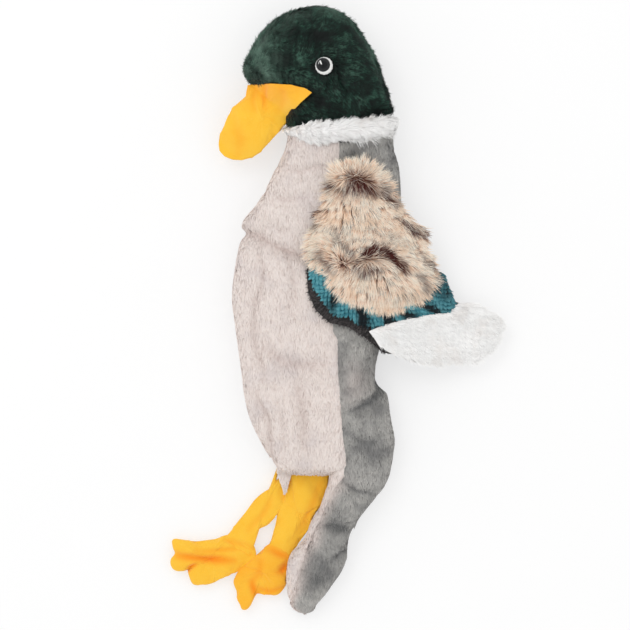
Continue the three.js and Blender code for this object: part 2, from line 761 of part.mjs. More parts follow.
const extent = new THREE.Box3().setFromObject(toy);
const middle = extent.getCenter(new THREE.Vector3());
toy.position.set(-middle.x, -middle.y, -extent.min.z);

export default toy;
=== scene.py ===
import math

import bpy
import numpy as np
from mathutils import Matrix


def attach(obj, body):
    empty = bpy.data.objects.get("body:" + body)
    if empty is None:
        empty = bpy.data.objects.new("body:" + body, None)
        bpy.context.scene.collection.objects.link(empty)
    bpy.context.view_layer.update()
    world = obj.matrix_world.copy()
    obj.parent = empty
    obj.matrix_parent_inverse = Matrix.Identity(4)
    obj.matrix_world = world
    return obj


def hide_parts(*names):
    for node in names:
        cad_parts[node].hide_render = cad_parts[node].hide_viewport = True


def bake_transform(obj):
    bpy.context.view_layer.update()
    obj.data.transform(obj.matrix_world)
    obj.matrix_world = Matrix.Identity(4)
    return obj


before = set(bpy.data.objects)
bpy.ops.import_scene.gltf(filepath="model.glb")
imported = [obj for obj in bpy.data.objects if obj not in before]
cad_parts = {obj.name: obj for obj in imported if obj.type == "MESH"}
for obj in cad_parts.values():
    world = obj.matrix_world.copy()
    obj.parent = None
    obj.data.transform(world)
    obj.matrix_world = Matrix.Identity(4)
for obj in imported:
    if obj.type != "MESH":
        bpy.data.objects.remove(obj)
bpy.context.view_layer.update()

# A plush mallard toy laid on its side. Every table is in millimetres on the toy's own pattern,
# +Y toward the head and +X toward the back; placing moves the pattern to the table frame.
mm = 0.001
placing = np.array([0.988, 1.510, 0.0])
tau = 2 * math.pi
sides = ((1, "left"), (-1, "right"))        # the duck's left side is the upper one
rimPoints = 900         # how finely an outline's reach is measured
foldPoints = 40         # and a fold's line

# camera and light

view = {"lens": 240, "sensor": 36, "width": 0.496, "x": -0.0163, "y": -0.0040, "z": 0.030}
light = {"world": 0.93, "key": 4.2, "keySize": 1.1, "keyAt": (-0.7, 0.9, 1.5), "floorGlow": 0.6}

scene = bpy.context.scene
scene.view_settings.view_transform = "Standard"
camera = bpy.data.objects.new("camera", bpy.data.cameras.new("camera"))
camera.data.lens = view["lens"]
camera.data.sensor_width = view["sensor"]
camera.location = (view["x"], view["y"], view["z"] + view["width"] * view["lens"] / view["sensor"])
scene.collection.objects.link(camera)
scene.camera = camera

lamp = bpy.data.lights.new("softbox", "AREA")
lamp.shape = "DISK"
lamp.size = light["keySize"]
lamp.energy = light["key"]
softbox = bpy.data.objects.new("softbox", lamp)
softbox.location = light["keyAt"]
softbox.rotation_euler = (-softbox.location).to_track_quat("-Z", "Y").to_euler()
scene.collection.objects.link(softbox)

scene.world = bpy.data.worlds.new("studio")
scene.world.use_nodes = True
studio = scene.world.node_tree.nodes["Background"].inputs
studio["Color"].default_value = (1, 1, 1, 1)
studio["Strength"].default_value = light["world"]


# numbers on curves and surfaces

# arrows over their own length
def unit(arrows):
    return arrows / np.maximum(np.linalg.norm(arrows, axis=-1, keepdims=True), 1e-9)


# places from their three coordinates, each a grid or one number
def spotsAt(x, y, z):
    return np.stack(np.broadcast_arrays(x, y, z), -1)


# ease from 0 at low to 1 at high by 3t^2 - 2t^3
def ease(value, low, high):
    t = np.clip((value - low) / (high - low), 0, 1)
    return t * t * (3 - 2 * t)


# smooth noise from -1 to 1: random numbers at the corners of a cubic lattice, eased between them; a corner's
# number is its place times three primes, scrambled
def noiseAt(points, size, seed=0):
    place = np.asarray(points, float) / size + 31.7 * (seed + 1)
    cell = np.floor(place).astype(np.int64)
    part = place - cell
    part = part * part * (3 - 2 * part)
    total = np.zeros(place.shape[:-1])
    for corner in np.ndindex(2, 2, 2):
        key = (cell + np.array(corner)) @ np.array([73856093, 19349663, 83492791]) + seed * 7919
        key = ((key ^ (key >> 13)) * 1274126177) & 0xFFFFFFFF
        key = ((key ^ (key >> 15)) * 668265263) & 0xFFFFFFFF
        share = np.prod(np.where(np.array(corner) == 1, part, 1 - part), axis=-1)
        total += share * ((key >> 12) & 0xFFFF) / 0xFFFF
    return total * 2 - 1


# the same noise on level ground, for lumps that show on both sides of a cloth
def lumpsAt(x, y, size, seed):
    return noiseAt(spotsAt(x, y, 0 * x), size, seed)


# a curve through points: on each stretch, the cubic of the four points around it
def curveThrough(points, count, closed=False):
    points = np.asarray(points, float)
    if closed:
        ends = np.vstack([points[-1:], points, points[:2]])
    else:
        ends = np.vstack([2 * points[0] - points[1], points, 2 * points[-1] - points[-2]])
    spans = len(points) - (0 if closed else 1)
    place = np.linspace(0, spans, count, endpoint=not closed)
    first = np.minimum(place.astype(int), spans - 1)
    t = (place - first)[:, None]
    a, b, c, d = (ends[first + step] for step in range(4))
    square, cube = 2 * a - 5 * b + 4 * c - d, 3 * b - a - 3 * c + d
    return 0.5 * (2 * b + (c - a) * t + square * t ** 2 + cube * t ** 3)


# points an equal length apart along a line, which runs back to its start if it is closed
def equally(line, count, closed):
    line = np.vstack([line, line[:1]]).astype(float) if closed else line
    run = np.r_[0, np.cumsum(np.linalg.norm(np.diff(line, axis=0), axis=1))]
    want = np.linspace(0, run[-1], count, endpoint=not closed)
    return np.stack([np.interp(want, run, column) for column in line.T], 1)


# the curve through points, with its own points an equal length apart
def evenly(points, count, closed=False):
    return equally(curveThrough(points, 30 * len(points), closed), count, closed)


# how far an outline reaches from its centre at each turn, as a curve or along its straight stretches
def reachOf(outline, centre, smooth=True):
    rim = evenly(outline, rimPoints, True) if smooth else equally(outline, rimPoints, True)
    arm = rim - np.asarray(centre, float)
    turns, lengths = np.arctan2(arm[:, 1], arm[:, 0]), np.hypot(arm[:, 0], arm[:, 1])
    return lambda turn: np.interp(turn, turns, lengths, period=tau)


# a point's distance from the centre as a share of the outline's reach that way
def shareIn(x, y, centre, reach):
    dx, dy = x - centre[0], y - centre[1]
    return np.hypot(dx, dy) / reach(np.arctan2(dy, dx))


# rings from a centre out to a rim, closer together toward it: their shares of the reach follow the sine of
# equal steps, and a place is the centre plus share times reach along each turn
def ringsTo(centre, reach, rings, steps):
    turn = np.linspace(0, tau, steps + 1)[None]
    share = np.sin(np.linspace(0, 1, rings + 1) * np.pi / 2)[:, None]
    arm = share * reach(turn)
    return share, centre[0] + arm * np.cos(turn), centre[1] + arm * np.sin(turn)


# folds in cloth: each is a line, deepest on the line, and falls off as exp(-(distance / width)^2)
# times the root of the sine along it, so that its ends fade
def foldsAt(x, y, folds):
    place = np.stack([x, y], -1).reshape(-1, 2)
    total = np.zeros(len(place))
    for depth, width, line in folds:
        points = evenly(line, foldPoints)
        gaps = np.linalg.norm(place[:, None] - points[None], axis=-1)
        fade = np.sin(np.pi * (0.08 + 0.84 * gaps.argmin(1) / (foldPoints - 1))) ** 0.5
        total += depth * fade * np.exp(-(gaps.min(1) / width) ** 2)
    return total.reshape(np.shape(x))


# outward arrows of a grid: the cross product of its two directions, turned to the side of outward
def arrowsOf(grid, outward, wrap):
    across = np.gradient(grid, axis=1)
    if wrap:
        across[:, 0] = across[:, -1] = grid[:, 1] - grid[:, -2]
    arrows = unit(np.cross(np.gradient(grid, axis=0), across))
    flat = np.linalg.norm(arrows, axis=-1, keepdims=True) < 0.5
    arrows = np.where(flat, unit(outward), arrows)
    return arrows * np.sign(np.sum(arrows * outward, -1, keepdims=True) + 1e-12)


# values given at some rows, drawn out to every row between them
def drawnOut(values, at, count):
    place = np.arange(count)
    low = np.clip(np.searchsorted(at, place, side="right") - 1, 0, len(at) - 2)
    t = ((place - at[low]) / (at[low + 1] - at[low])).reshape((-1,) + (1,) * (values.ndim - 1))
    return values[low] * (1 - t) + values[low + 1] * t


# an outward grid let loose as cloth: its seams are held, its cloth is cut a little too large, and a light
# pressure from inside rounds it; no point moves much further than the cap
def loosen(grid, outward, look, wrap=False, pole=False):
    rows = np.linspace(0, grid.shape[0] - 1, look["rows"]).round().astype(int)
    cols = np.linspace(0, grid.shape[1] - 1, look["cols"]).round().astype(int)
    coarse = grid[rows][:, cols]
    own = len(cols) - (1 if wrap else 0)
    index = np.arange(len(rows) * own).reshape(len(rows), own)
    held = np.zeros(index.shape, bool)
    held[-1], held[0] = True, not pole
    if not wrap:
        held[:, 0] = held[:, -1] = True
    around = np.hstack([index, index[:, :1]]) if wrap else index
    inner = around[1:] if pole else around
    quads = np.stack([inner[:-1, :-1], inner[:-1, 1:], inner[1:, 1:], inner[1:, :-1]], -1).reshape(-1, 4)
    faces = quads.tolist()
    if pole:
        faces += np.stack([0 * around[1, 1:], around[1, 1:], around[1, :-1]], -1).tolist()
    start = coarse[:, :own].reshape(-1, 3)
    arrows = arrowsOf(coarse, outward[rows][:, cols], wrap)[:, :own].reshape(-1, 3)
    a, b, d = (start[quads[:, corner]] for corner in (0, 1, 3))
    if np.sum(np.cross(b - a, d - a) * arrows[quads[:, 0]]) < 0:
        faces = [face[::-1] for face in faces]
    mesh = bpy.data.meshes.new("loose")
    mesh.from_pydata((start * mm).tolist(), [], faces)
    loose = bpy.data.objects.new("loose", mesh)
    scene.collection.objects.link(loose)
    loose.vertex_groups.new(name="seams").add(np.flatnonzero(held.ravel()).tolist(), 1.0, "ADD")
    cloth = loose.modifiers.new("cloth", "CLOTH")
    settings = cloth.settings
    settings.quality, settings.mass = 5, 0.15
    settings.tension_stiffness = settings.compression_stiffness = look["stiff"]
    settings.shear_stiffness, settings.bending_stiffness = look["stiff"] / 3, look["bend"]
    settings.vertex_group_mass = "seams"
    settings.shrink_min = -look["slack"]
    settings.use_pressure, settings.uniform_pressure_force = True, look["pressure"]
    settings.effector_weights.gravity = 0
    cloth.collision_settings.use_collision = False
    for step in range(1, look["steps"] + 1):
        scene.frame_set(step)
    found = np.empty(len(start) * 3, np.float32)
    settled = loose.evaluated_get(bpy.context.evaluated_depsgraph_get())
    settled.data.vertices.foreach_get("co", found)
    scene.frame_set(1)
    bpy.data.objects.remove(loose)
    move = found.reshape(-1, 3) / mm - start
    size = np.linalg.norm(move, axis=1, keepdims=True)
    move *= look["cap"] * np.tanh(size / look["cap"]) / np.maximum(size, 1e-9)
    move = move.reshape(len(rows), own, 3)
    if pole:
        move[0] = move[0, :1]
    if wrap:
        move = np.hstack([move, move[:, :1]])
    print("  cloth moved by up to", round(float(size.max()), 2), "mm")
    full = drawnOut(move, rows, grid.shape[0])
    full = drawnOut(full.swapaxes(0, 1), cols, grid.shape[1]).swapaxes(0, 1)
    return grid + full


# where faces lie on the OFBake map: the low edge of their strip, and how tall it is
bakeRows = {"outer": (0.005, 0.46), "hairs": (0.49, 0.40), "rim": (0.905, 0.02), "inner": (0.935, 0.06)}
hair = {
    "under": 0.35,      # share of the hairs on the side that lies on the table
    "shortest": 0.25, "roll": 0.2, "wave": 0.22, "waveSize": 2.2,
    "wander": 0.7, "wanderSize": 1.7, "jitter": 0.35, "jitterSize": 3.1, "ownTint": 0.45,
    "bow": 0.35, "rise": 1.4, "sweep": 1.3, "gather": 1.2,      # how it rises, bends over and joins its lock
    "taper": 0.9, "lowest": 0.04, "rootTone": 0.12, "cellShape": 2.4, "cellFill": 0.9,
}


class Piece:
    # one sewn piece: closed skins made of grids, and the pile that grows on them
    def __init__(self, name):
        self.name, self.count = name, 0
        self.vertices, self.faces, self.maps = [], [], []
        self.values = {"along": [], "tint": [], "fold": [], "edge": []}

    # more vertices and faces; along runs up a hair, tint is its own, fold and edge are the cloth's below it.
    # Fold carries painted shade in folds along with the cloth's own darker stripes and tones; edge carries
    # pale edges and, on the head, painted sheen
    def add(self, vertices, faces, maps, along=0.0, tint=0.5, fold=0.0, edge=0.0):
        self.faces += [face + self.count for face in faces]
        self.maps += maps
        self.vertices.append(vertices)
        self.count += len(vertices)
        for key, value in (("along", along), ("tint", tint), ("fold", fold), ("edge", edge)):
            self.values[key].append(np.broadcast_to(np.asarray(value, float), len(vertices)))

    # a closed skin: an outer grid, an inner grid of the same size, and strips that join their rims
    def skin(self, outer, inner, fold=0.0, wrap=False, pole=False, chart=(0.0, 1.0), edge=0.0):
        rows, cols = outer.shape[:2]
        own = cols - 1 if wrap else cols
        index = np.arange(rows * own).reshape(rows, own)
        if pole:
            index = np.maximum(index - own + 1, 0)
        if wrap:
            index = np.hstack([index, index[:, :1]])

        def listed(grid):       # a grid's own points in one list, a pole once
            flat = grid[:, :own].reshape(rows * own, -1)
            return np.vstack([flat[:1], flat[own:]]) if pole else flat

        low, high = chart
        u = low + (high - low) * (0.01 + 0.98 * np.linspace(0, 1, cols))
        v = np.linspace(0, 1, rows)
        place = np.stack(np.broadcast_arrays(u[None], v[:, None]), -1)
        size = len(listed(outer))
        faces, maps = [], []

        def quads(picked, where):       # four-sided faces, three-sided at a pole
            a, b, c, d = (part.reshape(-1) for part in picked)
            spots = [np.broadcast_to(part, picked[0].shape + (2,)).reshape(-1, 2) for part in where]
            three = a == b
            faces.append(np.stack([a, b, c, d], 1)[~three])
            maps.append(np.stack(spots, 1)[~three])
            faces.append(np.stack([a, c, d], 1)[three])
            maps.append(np.stack([(spots[0] + spots[1]) / 2, spots[2], spots[3]], 1)[three])

        def around(grid, turned=False):     # the four corners of every cell
            a, b, c, d = grid[:-1, :-1], grid[:-1, 1:], grid[1:, 1:], grid[1:, :-1]
            return [b, a, d, c] if turned else [a, b, c, d]

        def strip(kind):
            return place * [1, bakeRows[kind][1]] + [0, bakeRows[kind][0]]

        quads(around(index), around(strip("outer")))
        quads(around(index + size, True), around(strip("inner"), True))
        edges = [index[-1, ::-1]] if pole else [index[0], index[-1, ::-1]]
        if not wrap:
            edges += [index[::-1, 0], index[:, -1]]
        for line in edges:
            rim = np.linspace(low + 0.01, high - 0.01, len(line))
            near = np.stack([rim, rim * 0 + bakeRows["rim"][0]], 1)
            far = near + [0, bakeRows["rim"][1]]
            keep = line[1:] != line[:-1]
            faces.append(np.stack([line[1:], line[:-1], line[:-1] + size, line[1:] + size], 1)[keep])
            maps.append(np.stack([near[1:], near[:-1], far[:-1], far[1:]], 1)[keep])
        arrows = np.cross(np.gradient(outer, axis=1), np.gradient(outer, axis=0))
        if np.sum(arrows * (outer - inner)) < 0:
            faces, maps = [face[:, ::-1] for face in faces], [spot[:, ::-1] for spot in maps]
        both = [np.broadcast_to(np.asarray(value, float), (rows, cols))[..., None] for value in (fold, edge)]
        fold, edge = (np.concatenate([listed(value), listed(value)])[:, 0] for value in both)
        self.add(np.vstack([listed(outer), listed(inner)]), faces, maps, fold=fold, edge=edge)

    # pile: tapered flat hairs at random places on a grid; a hair rises along the grid's arrow, sweeps over
    # toward the way it is combed, and is drawn toward the middle of its lock by a power of its height
    def pile(self, grid, outward, comb, look, wrap=False, thin=None, chart=(0.0, 1.0), fold=0.0, edge=0.0):
        rng = np.random.default_rng(look["seed"])
        arrows = arrowsOf(grid, outward, wrap)
        crossed = np.cross(grid[:-1, 1:] - grid[:-1, :-1], grid[1:, :-1] - grid[:-1, :-1])
        facing = ease(arrows[:-1, :-1, 2], -0.8, -0.1)
        area = (np.linalg.norm(crossed, axis=-1) * (hair["under"] + (1 - hair["under"]) * facing)).ravel()
        row, col = np.divmod(rng.choice(area.size, look["count"], p=area / area.sum()), grid.shape[1] - 1)
        s, t = rng.random((2, look["count"], 1))

        def between(values):        # a grid's values at the roots
            low = values[row, col] * (1 - t) + values[row, col + 1] * t
            high = values[row + 1, col] * (1 - t) + values[row + 1, col + 1] * t
            return low * (1 - s) + high * s

        root, up = between(grid), unit(between(arrows))
        lock, seed = look["lock"], look["seed"]
        length = look["length"] * (1 - look["vary"] * rng.random(len(root)))
        length *= 1 + look.get("wave", hair["wave"]) * noiseAt(root, lock * hair["waveSize"], seed)
        if thin is not None:
            length *= thin(root)
        cloth = [np.broadcast_to(value, grid.shape[:2])[..., None] for value in (fold, edge)]
        shade, pale = (between(value)[:, 0] for value in cloth)
        kept = length > hair["shortest"]
        root, up, length, shade, pale = root[kept], up[kept], length[kept, None], shade[kept], pale[kept]
        flow = comb(root) + look["stray"] * rng.normal(size=root.shape)
        flow = unit(flow - up * np.sum(flow * up, -1, keepdims=True))

        def drift(points, size, first):     # three noises as one arrow
            return np.stack([noiseAt(points, size, seed + first + step) for step in range(3)], 1)

        wander = drift(root, lock * hair["wanderSize"], 1)
        cell = np.floor((root + wander * lock * hair["wander"]) / lock)
        jitter = drift(cell * hair["jitterSize"] + 0.5, 1.0, 4)
        middle = (cell + 0.5 + hair["jitter"] * jitter) * lock
        pull = look["clump"] * (middle - root) * (look["clumpAt"](root) if "clumpAt" in look else 1)
        pull -= up * np.sum(pull * up, -1, keepdims=True)
        tint = hair["ownTint"] * rng.random(len(root)) + (1 - hair["ownTint"]) * (0.5 + 0.5 * jitter[:, 0])

        count, steps = len(root), look["steps"]
        level = np.linspace(0, 1, steps + 1)[None, :, None]
        lift = look["lift"] * (level - hair["bow"] * level ** 2) * hair["rise"]
        sweep = look["reach"] * level ** hair["sweep"]
        line = root[:, None] + length[:, None] * (lift * up[:, None] + sweep * flow[:, None])
        line = line + pull[:, None] * level ** hair["gather"]
        along = unit(line[:, -1] - line[:, 0])
        side = unit(np.cross(along, up + look.get("roll", hair["roll"]) * rng.normal(size=up.shape)))
        side = side[:, None] * (look["width"] / 2 * (1 - hair["taper"] * level[:, :-1] ** 2))
        rims = np.stack([line[:, :-1] + side, line[:, :-1] - side], 2)
        hairs = np.concatenate([rims.reshape(count, -1, 3), line[:, -1:]], 1)
        hairs[..., 2] = np.maximum(hairs[..., 2], hair["lowest"])

        # each hair has its own cell of the map, in rows that fill the hairs' strip
        perHair = 2 * steps + 1
        start = np.arange(count)[:, None] * perHair
        cells = int(math.ceil(math.sqrt(count * hair["cellShape"])))
        cellWide = (chart[1] - chart[0]) / cells
        cellTall = bakeRows["hairs"][1] / int(math.ceil(count / cells))
        corner = np.stack([np.arange(count) % cells * cellWide + chart[0],
                           np.arange(count) // cells * cellTall + bakeRows["hairs"][0]], 1)
        cellSize = np.multiply([cellWide, cellTall], hair["cellFill"])
        faces, maps = [], []
        for step in range(steps):
            a, foot, top = start + 2 * step, step / steps, (step + 1) / steps
            if step < steps - 1:
                faces.append(np.hstack([a, a + 1, a + 3, a + 2]))
                square = [(0, foot), (0.5, foot), (0.5, top), (0, top)]
            else:
                faces.append(np.hstack([a, a + 1, a + 2]))
                square = [(0, foot), (0.5, foot), (0.25, top)]
            maps.append(corner[:, None] + np.array(square)[None] * cellSize)
        tone = hair["rootTone"] + (1 - hair["rootTone"]) * np.append(np.repeat(level[0, :-1, 0], 2), 1.0)
        self.add(hairs.reshape(-1, 3), faces, maps, np.tile(tone, count),
                 *(np.repeat(value, perHair) for value in (tint, shade, pale)))

    # the piece as a Blender object, with its values as attributes and its map
    def mesh(self, finish):
        mesh = bpy.data.meshes.new(self.name)
        vertices = (np.vstack(self.vertices) + placing) * mm
        corners = np.concatenate([face.ravel() for face in self.faces]).astype(np.int32)
        sizes = np.concatenate([np.full(len(face), face.shape[1]) for face in self.faces])
        mesh.vertices.add(len(vertices))
        mesh.vertices.foreach_set("co", vertices.ravel().astype(np.float32))
        mesh.loops.add(len(corners))
        mesh.loops.foreach_set("vertex_index", corners)
        mesh.polygons.add(len(sizes))
        mesh.polygons.foreach_set("loop_start", np.r_[0, np.cumsum(sizes)[:-1]].astype(np.int32))
        mesh.polygons.foreach_set("use_smooth", np.ones(len(sizes), bool))
        bakeMap = mesh.uv_layers.new(name="OFBake")
        spots = np.concatenate([spot.reshape(-1, 2) for spot in self.maps])
        bakeMap.uv.foreach_set("vector", spots.ravel().astype(np.float32))
        for key, values in self.values.items():
            kept = mesh.attributes.new(key, "FLOAT", "POINT")
            kept.data.foreach_set("value", np.concatenate(values).astype(np.float32))
        mesh.update(calc_edges=True)
        mesh.materials.append(finish.material)
        made = bpy.data.objects.new(self.name, mesh)
        scene.collection.objects.link(made)
        return made


# a finished piece: what it replaces and what it moves with; a piece given a bend is fixed where it lies
# instead
def place(piece, finish, nodes, body, fill=0.3, bend=None):
    made = piece.mesh(finish)
    if nodes:
        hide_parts(*nodes)
    if bend:
        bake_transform(made)
    else:
        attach(made, body)


# finishes

# a screen colour in 0 to 255 as light: v / 12.92 if it is dark, else ((v + 0.055) / 1.055) ^ 2.4
def rgb(red, green, blue):
    parts = [value / 255 for value in (red, green, blue)]
    return tuple(v / 12.92 if v <= 0.04045 else ((v + 0.055) / 1.055) ** 2.4 for v in parts) + (1.0,)


class Wire:
    # a node's output; a sum of it with a number or with another output is a Math node
    def __init__(self, finish, socket):
        self.finish, self.socket = finish, socket

    def sums(kind, turned=False):
        def made(self, other):
            one, two = (other, self) if turned else (self, other)
            return self.finish.node("Math", {"operation": kind}, {0: one, 1: two})
        return made

    __add__, __radd__ = sums("ADD"), sums("ADD", True)
    __sub__, __rsub__ = sums("SUBTRACT"), sums("SUBTRACT", True)
    __mul__, __rmul__ = sums("MULTIPLY"), sums("MULTIPLY", True)

    # the value kept between 0 and 1
    def clamped(self):
        return self.finish.node("Clamp", {}, {0: self})


class Finish:
    # a material, whose slot has its name
    def __init__(self, name, roughness, sheen=0.0, specular=0.3):
        self.slot = name.replace(" ", "_")
        self.material = bpy.data.materials.new(name)
        self.material.use_nodes = True
        self.tree = self.material.node_tree
        self.shader = self.tree.nodes["Principled BSDF"]
        self.shader.inputs["Roughness"].default_value = roughness
        self.shader.inputs["Specular IOR Level"].default_value = specular
        if sheen:
            self.shader.inputs["Sheen Weight"].default_value = sheen
            self.shader.inputs["Sheen Roughness"].default_value = 0.5

    # a node with its settings, and its sockets as numbers or as wires from other nodes
    def node(self, kind, settings, sockets, out=0):
        made = self.tree.nodes.new("ShaderNode" + kind)
        for key, value in settings.items():
            if key == "stops":
                ramp = made.color_ramp
                while len(ramp.elements) < len(value):
                    ramp.elements.new(1.0)
                for element, (spot, colour) in zip(ramp.elements, value):
                    element.position, element.color = spot, colour
            else:
                setattr(made, key, value)
        for key, value in sockets.items():
            if isinstance(value, Wire):
                self.tree.links.new(value.socket, made.inputs[key])
            else:
                made.inputs[key].default_value = value
        return Wire(self, made.outputs[out])

    # a value that the mesh carries
    def value(self, name):
        return self.node("Attribute", {"attribute_name": name}, {}, "Fac")

    # noise whose lumps are about as wide as size, in millimetres
    def speckle(self, size, detail=2.0, stretch=(1, 1, 1)):
        spot = self.node("TexCoord", {}, {}, "Object")
        spot = self.node("Mapping", {}, {"Vector": spot, "Scale": stretch})
        return self.node("TexNoise", {}, {"Vector": spot, "Scale": 1 / (size * mm), "Detail": detail}, "Fac")

    # one colour times 1 - share, plus the other times share
    def mix(self, one, two, share):
        return self.node("Mix", {"data_type": "RGBA"}, {0: share, 6: one, 7: two}, 2)

    # a value turned into the colours at its stops
    def ramp(self, value, stops):
        return self.node("ValToRGB", {"stops": stops}, {"Fac": value}, "Color")

    def paint(self, colour):
        self.tree.links.new(colour.socket, self.shader.inputs["Base Color"])
        return self

    def bump(self, height, strength, depth):
        sockets = {"Strength": strength, "Distance": depth * mm, "Height": height}
        lump = self.node("Bump", {}, sockets, "Normal")
        self.tree.links.new(lump.socket, self.shader.inputs["Normal"])
        return self


# pile: colour runs from the hair's root to its tip, moved by each lock's own tint; the darker roots are
# partly the fur's own and partly painted shade deep in the pile. Broad patches drift to a second colour, lit
# specks on the tips, painted highlights, to a third, and dark strands to the deep one. The fold value also
# goes to the deep one, as painted shade in folds and as the cloth's own stripes where it carries them, and
# edges go to the edge's colour
def pileFinish(name, look):
    finish = Finish(name, look.get("roughness", 0.75), look.get("sheen", 0.2), look.get("specular", 0.25))
    along, tint, fold = finish.value("along"), finish.value("tint"), finish.value("fold")
    shift = look.get("shift", 0.3)
    colour = finish.ramp(along + (tint - 0.5) * shift, look["stops"])
    broad = finish.speckle(look.get("patchSize", 16), 3.0)
    colour = finish.mix(colour, look["patch"], ((broad - 0.5) * 6.0).clamped() * look.get("patchShare", 0.4))
    fine = finish.speckle(look.get("grain", 2.2), 2.0, look.get("stretch", (1, 1, 1)))
    # painted highlight: specks of light on the hair tips, scaled by the highlight share
    lit = ((fine * 0.2 + tint * 0.25 + (1 - broad) * 0.55 - 0.53) * 8.0).clamped()
    colour = finish.mix(colour, look["light"], lit * along * look.get("highlightShare", 0.3))
    if "strands" in look:
        dark = ((tint - 0.7) * 9.0).clamped() * (1.1 - along * 0.5) * look["strands"]
        colour = finish.mix(colour, look["deep"], dark.clamped())
    # edges: on the grey plush the belly's pale pile over the seam, its own colour; on the green plush a
    # painted sheen on the hair tips
    if "edge" in look:
        gathered = finish.value("edge") * (1 - look.get("edgeRoot", 0.0) * (1 - along))
        colour = finish.mix(colour, look["edge"], gathered.clamped())
    # painted shade in folds: the fold value darkens toward the deep colour, less at the hair tips; on the
    # wing it also carries the band's own stripes and the covert's dark partings
    dark = fold * (1.1 - along * look.get("foldTip", 0.5)) * look.get("foldShare", 0.7)
    colour = finish.mix(colour, look["deep"], dark.clamped())
    return finish.paint(colour).bump(fine, 0.25, 0.5)


# fleece: a short nap, with fine speckles and a deeper orange where the fold value is high: painted shade in
# the folds, plus the feet's own deeper tone and a deeper orange toward the top of the face
def fleeceFinish(name, look):
    finish = Finish(name, 0.9, 0.35, 0.15)
    nap = finish.speckle(0.9, 3.0)
    broad = finish.speckle(14, 2.0)
    colour = finish.mix(look["colour"], look["second"], ((broad - 0.4) * 3.0).clamped() * 0.7)
    colour = finish.mix(colour, look["light"], ((nap - 0.5) * 3.0).clamped() * 0.35)
    # painted shade in the folds, and the deeper tones above, through the fold value
    colour = finish.mix(colour, look["deep"], finish.value("fold").clamped())
    return finish.paint(colour).bump(nap + broad, 0.35, 0.35)


# thread, fibre and plastic: one colour that drifts to a second by fine noise
def plainFinish(name, colour, second, size, roughness, specular=0.3):
    finish = Finish(name, roughness, 0.0, specular)
    grain = finish.speckle(size, 3.0)
    return finish.paint(finish.mix(colour, second, grain)).bump(grain, 0.3, 0.2)


print("finishes")
# the green plush's edge colour is a painted sheen on its hair tips
greenPlush = pileFinish("green plush", {
    "stops": [(0.0, rgb(2, 9, 7)), (0.4, rgb(3, 16, 12)), (0.78, rgb(8, 33, 25)), (1.0, rgb(34, 74, 60))],
    "patch": rgb(2, 11, 9), "patchSize": 15, "patchShare": 0.95, "light": rgb(104, 148, 128),
    "highlightShare": 0.42, "deep": rgb(4, 15, 11), "edge": rgb(142, 180, 160), "edgeRoot": 1.0,
    "roughness": 0.55, "specular": 0.22, "shift": 0.6, "sheen": 0.06})
whiteFur = pileFinish("white fur", {
    "stops": [(0.0, rgb(248, 245, 243)), (0.35, rgb(253, 251, 250)), (1.0, rgb(255, 255, 254))],
    "patch": rgb(244, 239, 235), "patchSize": 12, "patchShare": 0.4, "light": rgb(255, 255, 255),
    "deep": rgb(190, 180, 178), "roughness": 0.8})
bellyPlush = pileFinish("belly plush", {
    "stops": [(0.0, rgb(230, 218, 212)), (0.4, rgb(238, 227, 222)), (1.0, rgb(244, 234, 228))],
    "patch": rgb(229, 219, 216), "patchSize": 24, "patchShare": 0.8, "light": rgb(250, 243, 238),
    "highlightShare": 0.4, "deep": rgb(190, 166, 157), "foldShare": 0.55, "stretch": (1.0, 0.35, 1.0)})
greyPlush = pileFinish("grey plush", {
    "stops": [(0.0, rgb(132, 130, 128)), (0.4, rgb(162, 160, 157)), (1.0, rgb(184, 182, 178))],
    "patch": rgb(134, 133, 132), "patchSize": 20, "patchShare": 0.85, "light": rgb(220, 216, 210),
    "highlightShare": 0.6, "deep": rgb(88, 90, 91), "foldShare": 0.85, "stretch": (1.0, 0.4, 1.0),
    "edge": rgb(236, 223, 217)})
tanFur = pileFinish("tan fur", {
    "stops": [(0.0, rgb(70, 42, 39)), (0.22, rgb(112, 78, 68)), (0.4, rgb(214, 172, 144)),
              (0.56, rgb(255, 231, 209)), (1.0, rgb(255, 249, 236))],
    "patch": rgb(248, 214, 181), "patchSize": 15, "patchShare": 0.45, "light": rgb(255, 244, 226),
    "highlightShare": 0.3, "deep": rgb(78, 34, 30), "foldShare": 1.25, "foldTip": 0.42, "shift": 1.05,
    "strands": 1.0, "roughness": 0.7, "sheen": 0.04, "specular": 0.12})
tealPlush = pileFinish("teal plush", {
    "stops": [(0.0, rgb(26, 82, 96)), (0.4, rgb(62, 140, 155)), (1.0, rgb(116, 192, 203))],
    "patch": rgb(30, 100, 114), "patchSize": 8, "patchShare": 0.5, "light": rgb(130, 190, 198),
    "highlightShare": 0.5, "deep": rgb(14, 26, 32), "foldShare": 1.5, "shift": 0.6})
darkLining = pileFinish("dark lining", {
    "stops": [(0.0, rgb(32, 29, 29)), (0.5, rgb(60, 56, 56)), (1.0, rgb(92, 87, 86))],
    "patch": rgb(52, 48, 48), "light": rgb(124, 119, 118), "deep": rgb(24, 21, 21)})
orangeFleece = fleeceFinish("orange fleece", {
    "colour": rgb(254, 198, 60), "second": rgb(253, 188, 46), "light": rgb(255, 214, 100),
    "deep": rgb(252, 142, 18)})
blackThread = plainFinish("black thread", rgb(20, 22, 24), rgb(44, 46, 48), 0.6, 0.45)
whiteThread = plainFinish("white thread", rgb(246, 246, 244), rgb(222, 222, 220), 0.6, 0.6)
fibreFill = plainFinish("fibre fill", rgb(247, 247, 245), rgb(225, 224, 220), 2.5, 0.95)
bulbPlastic = plainFinish("bulb plastic", rgb(233, 228, 216), rgb(216, 208, 192), 9.0, 0.4, 0.5)

# body

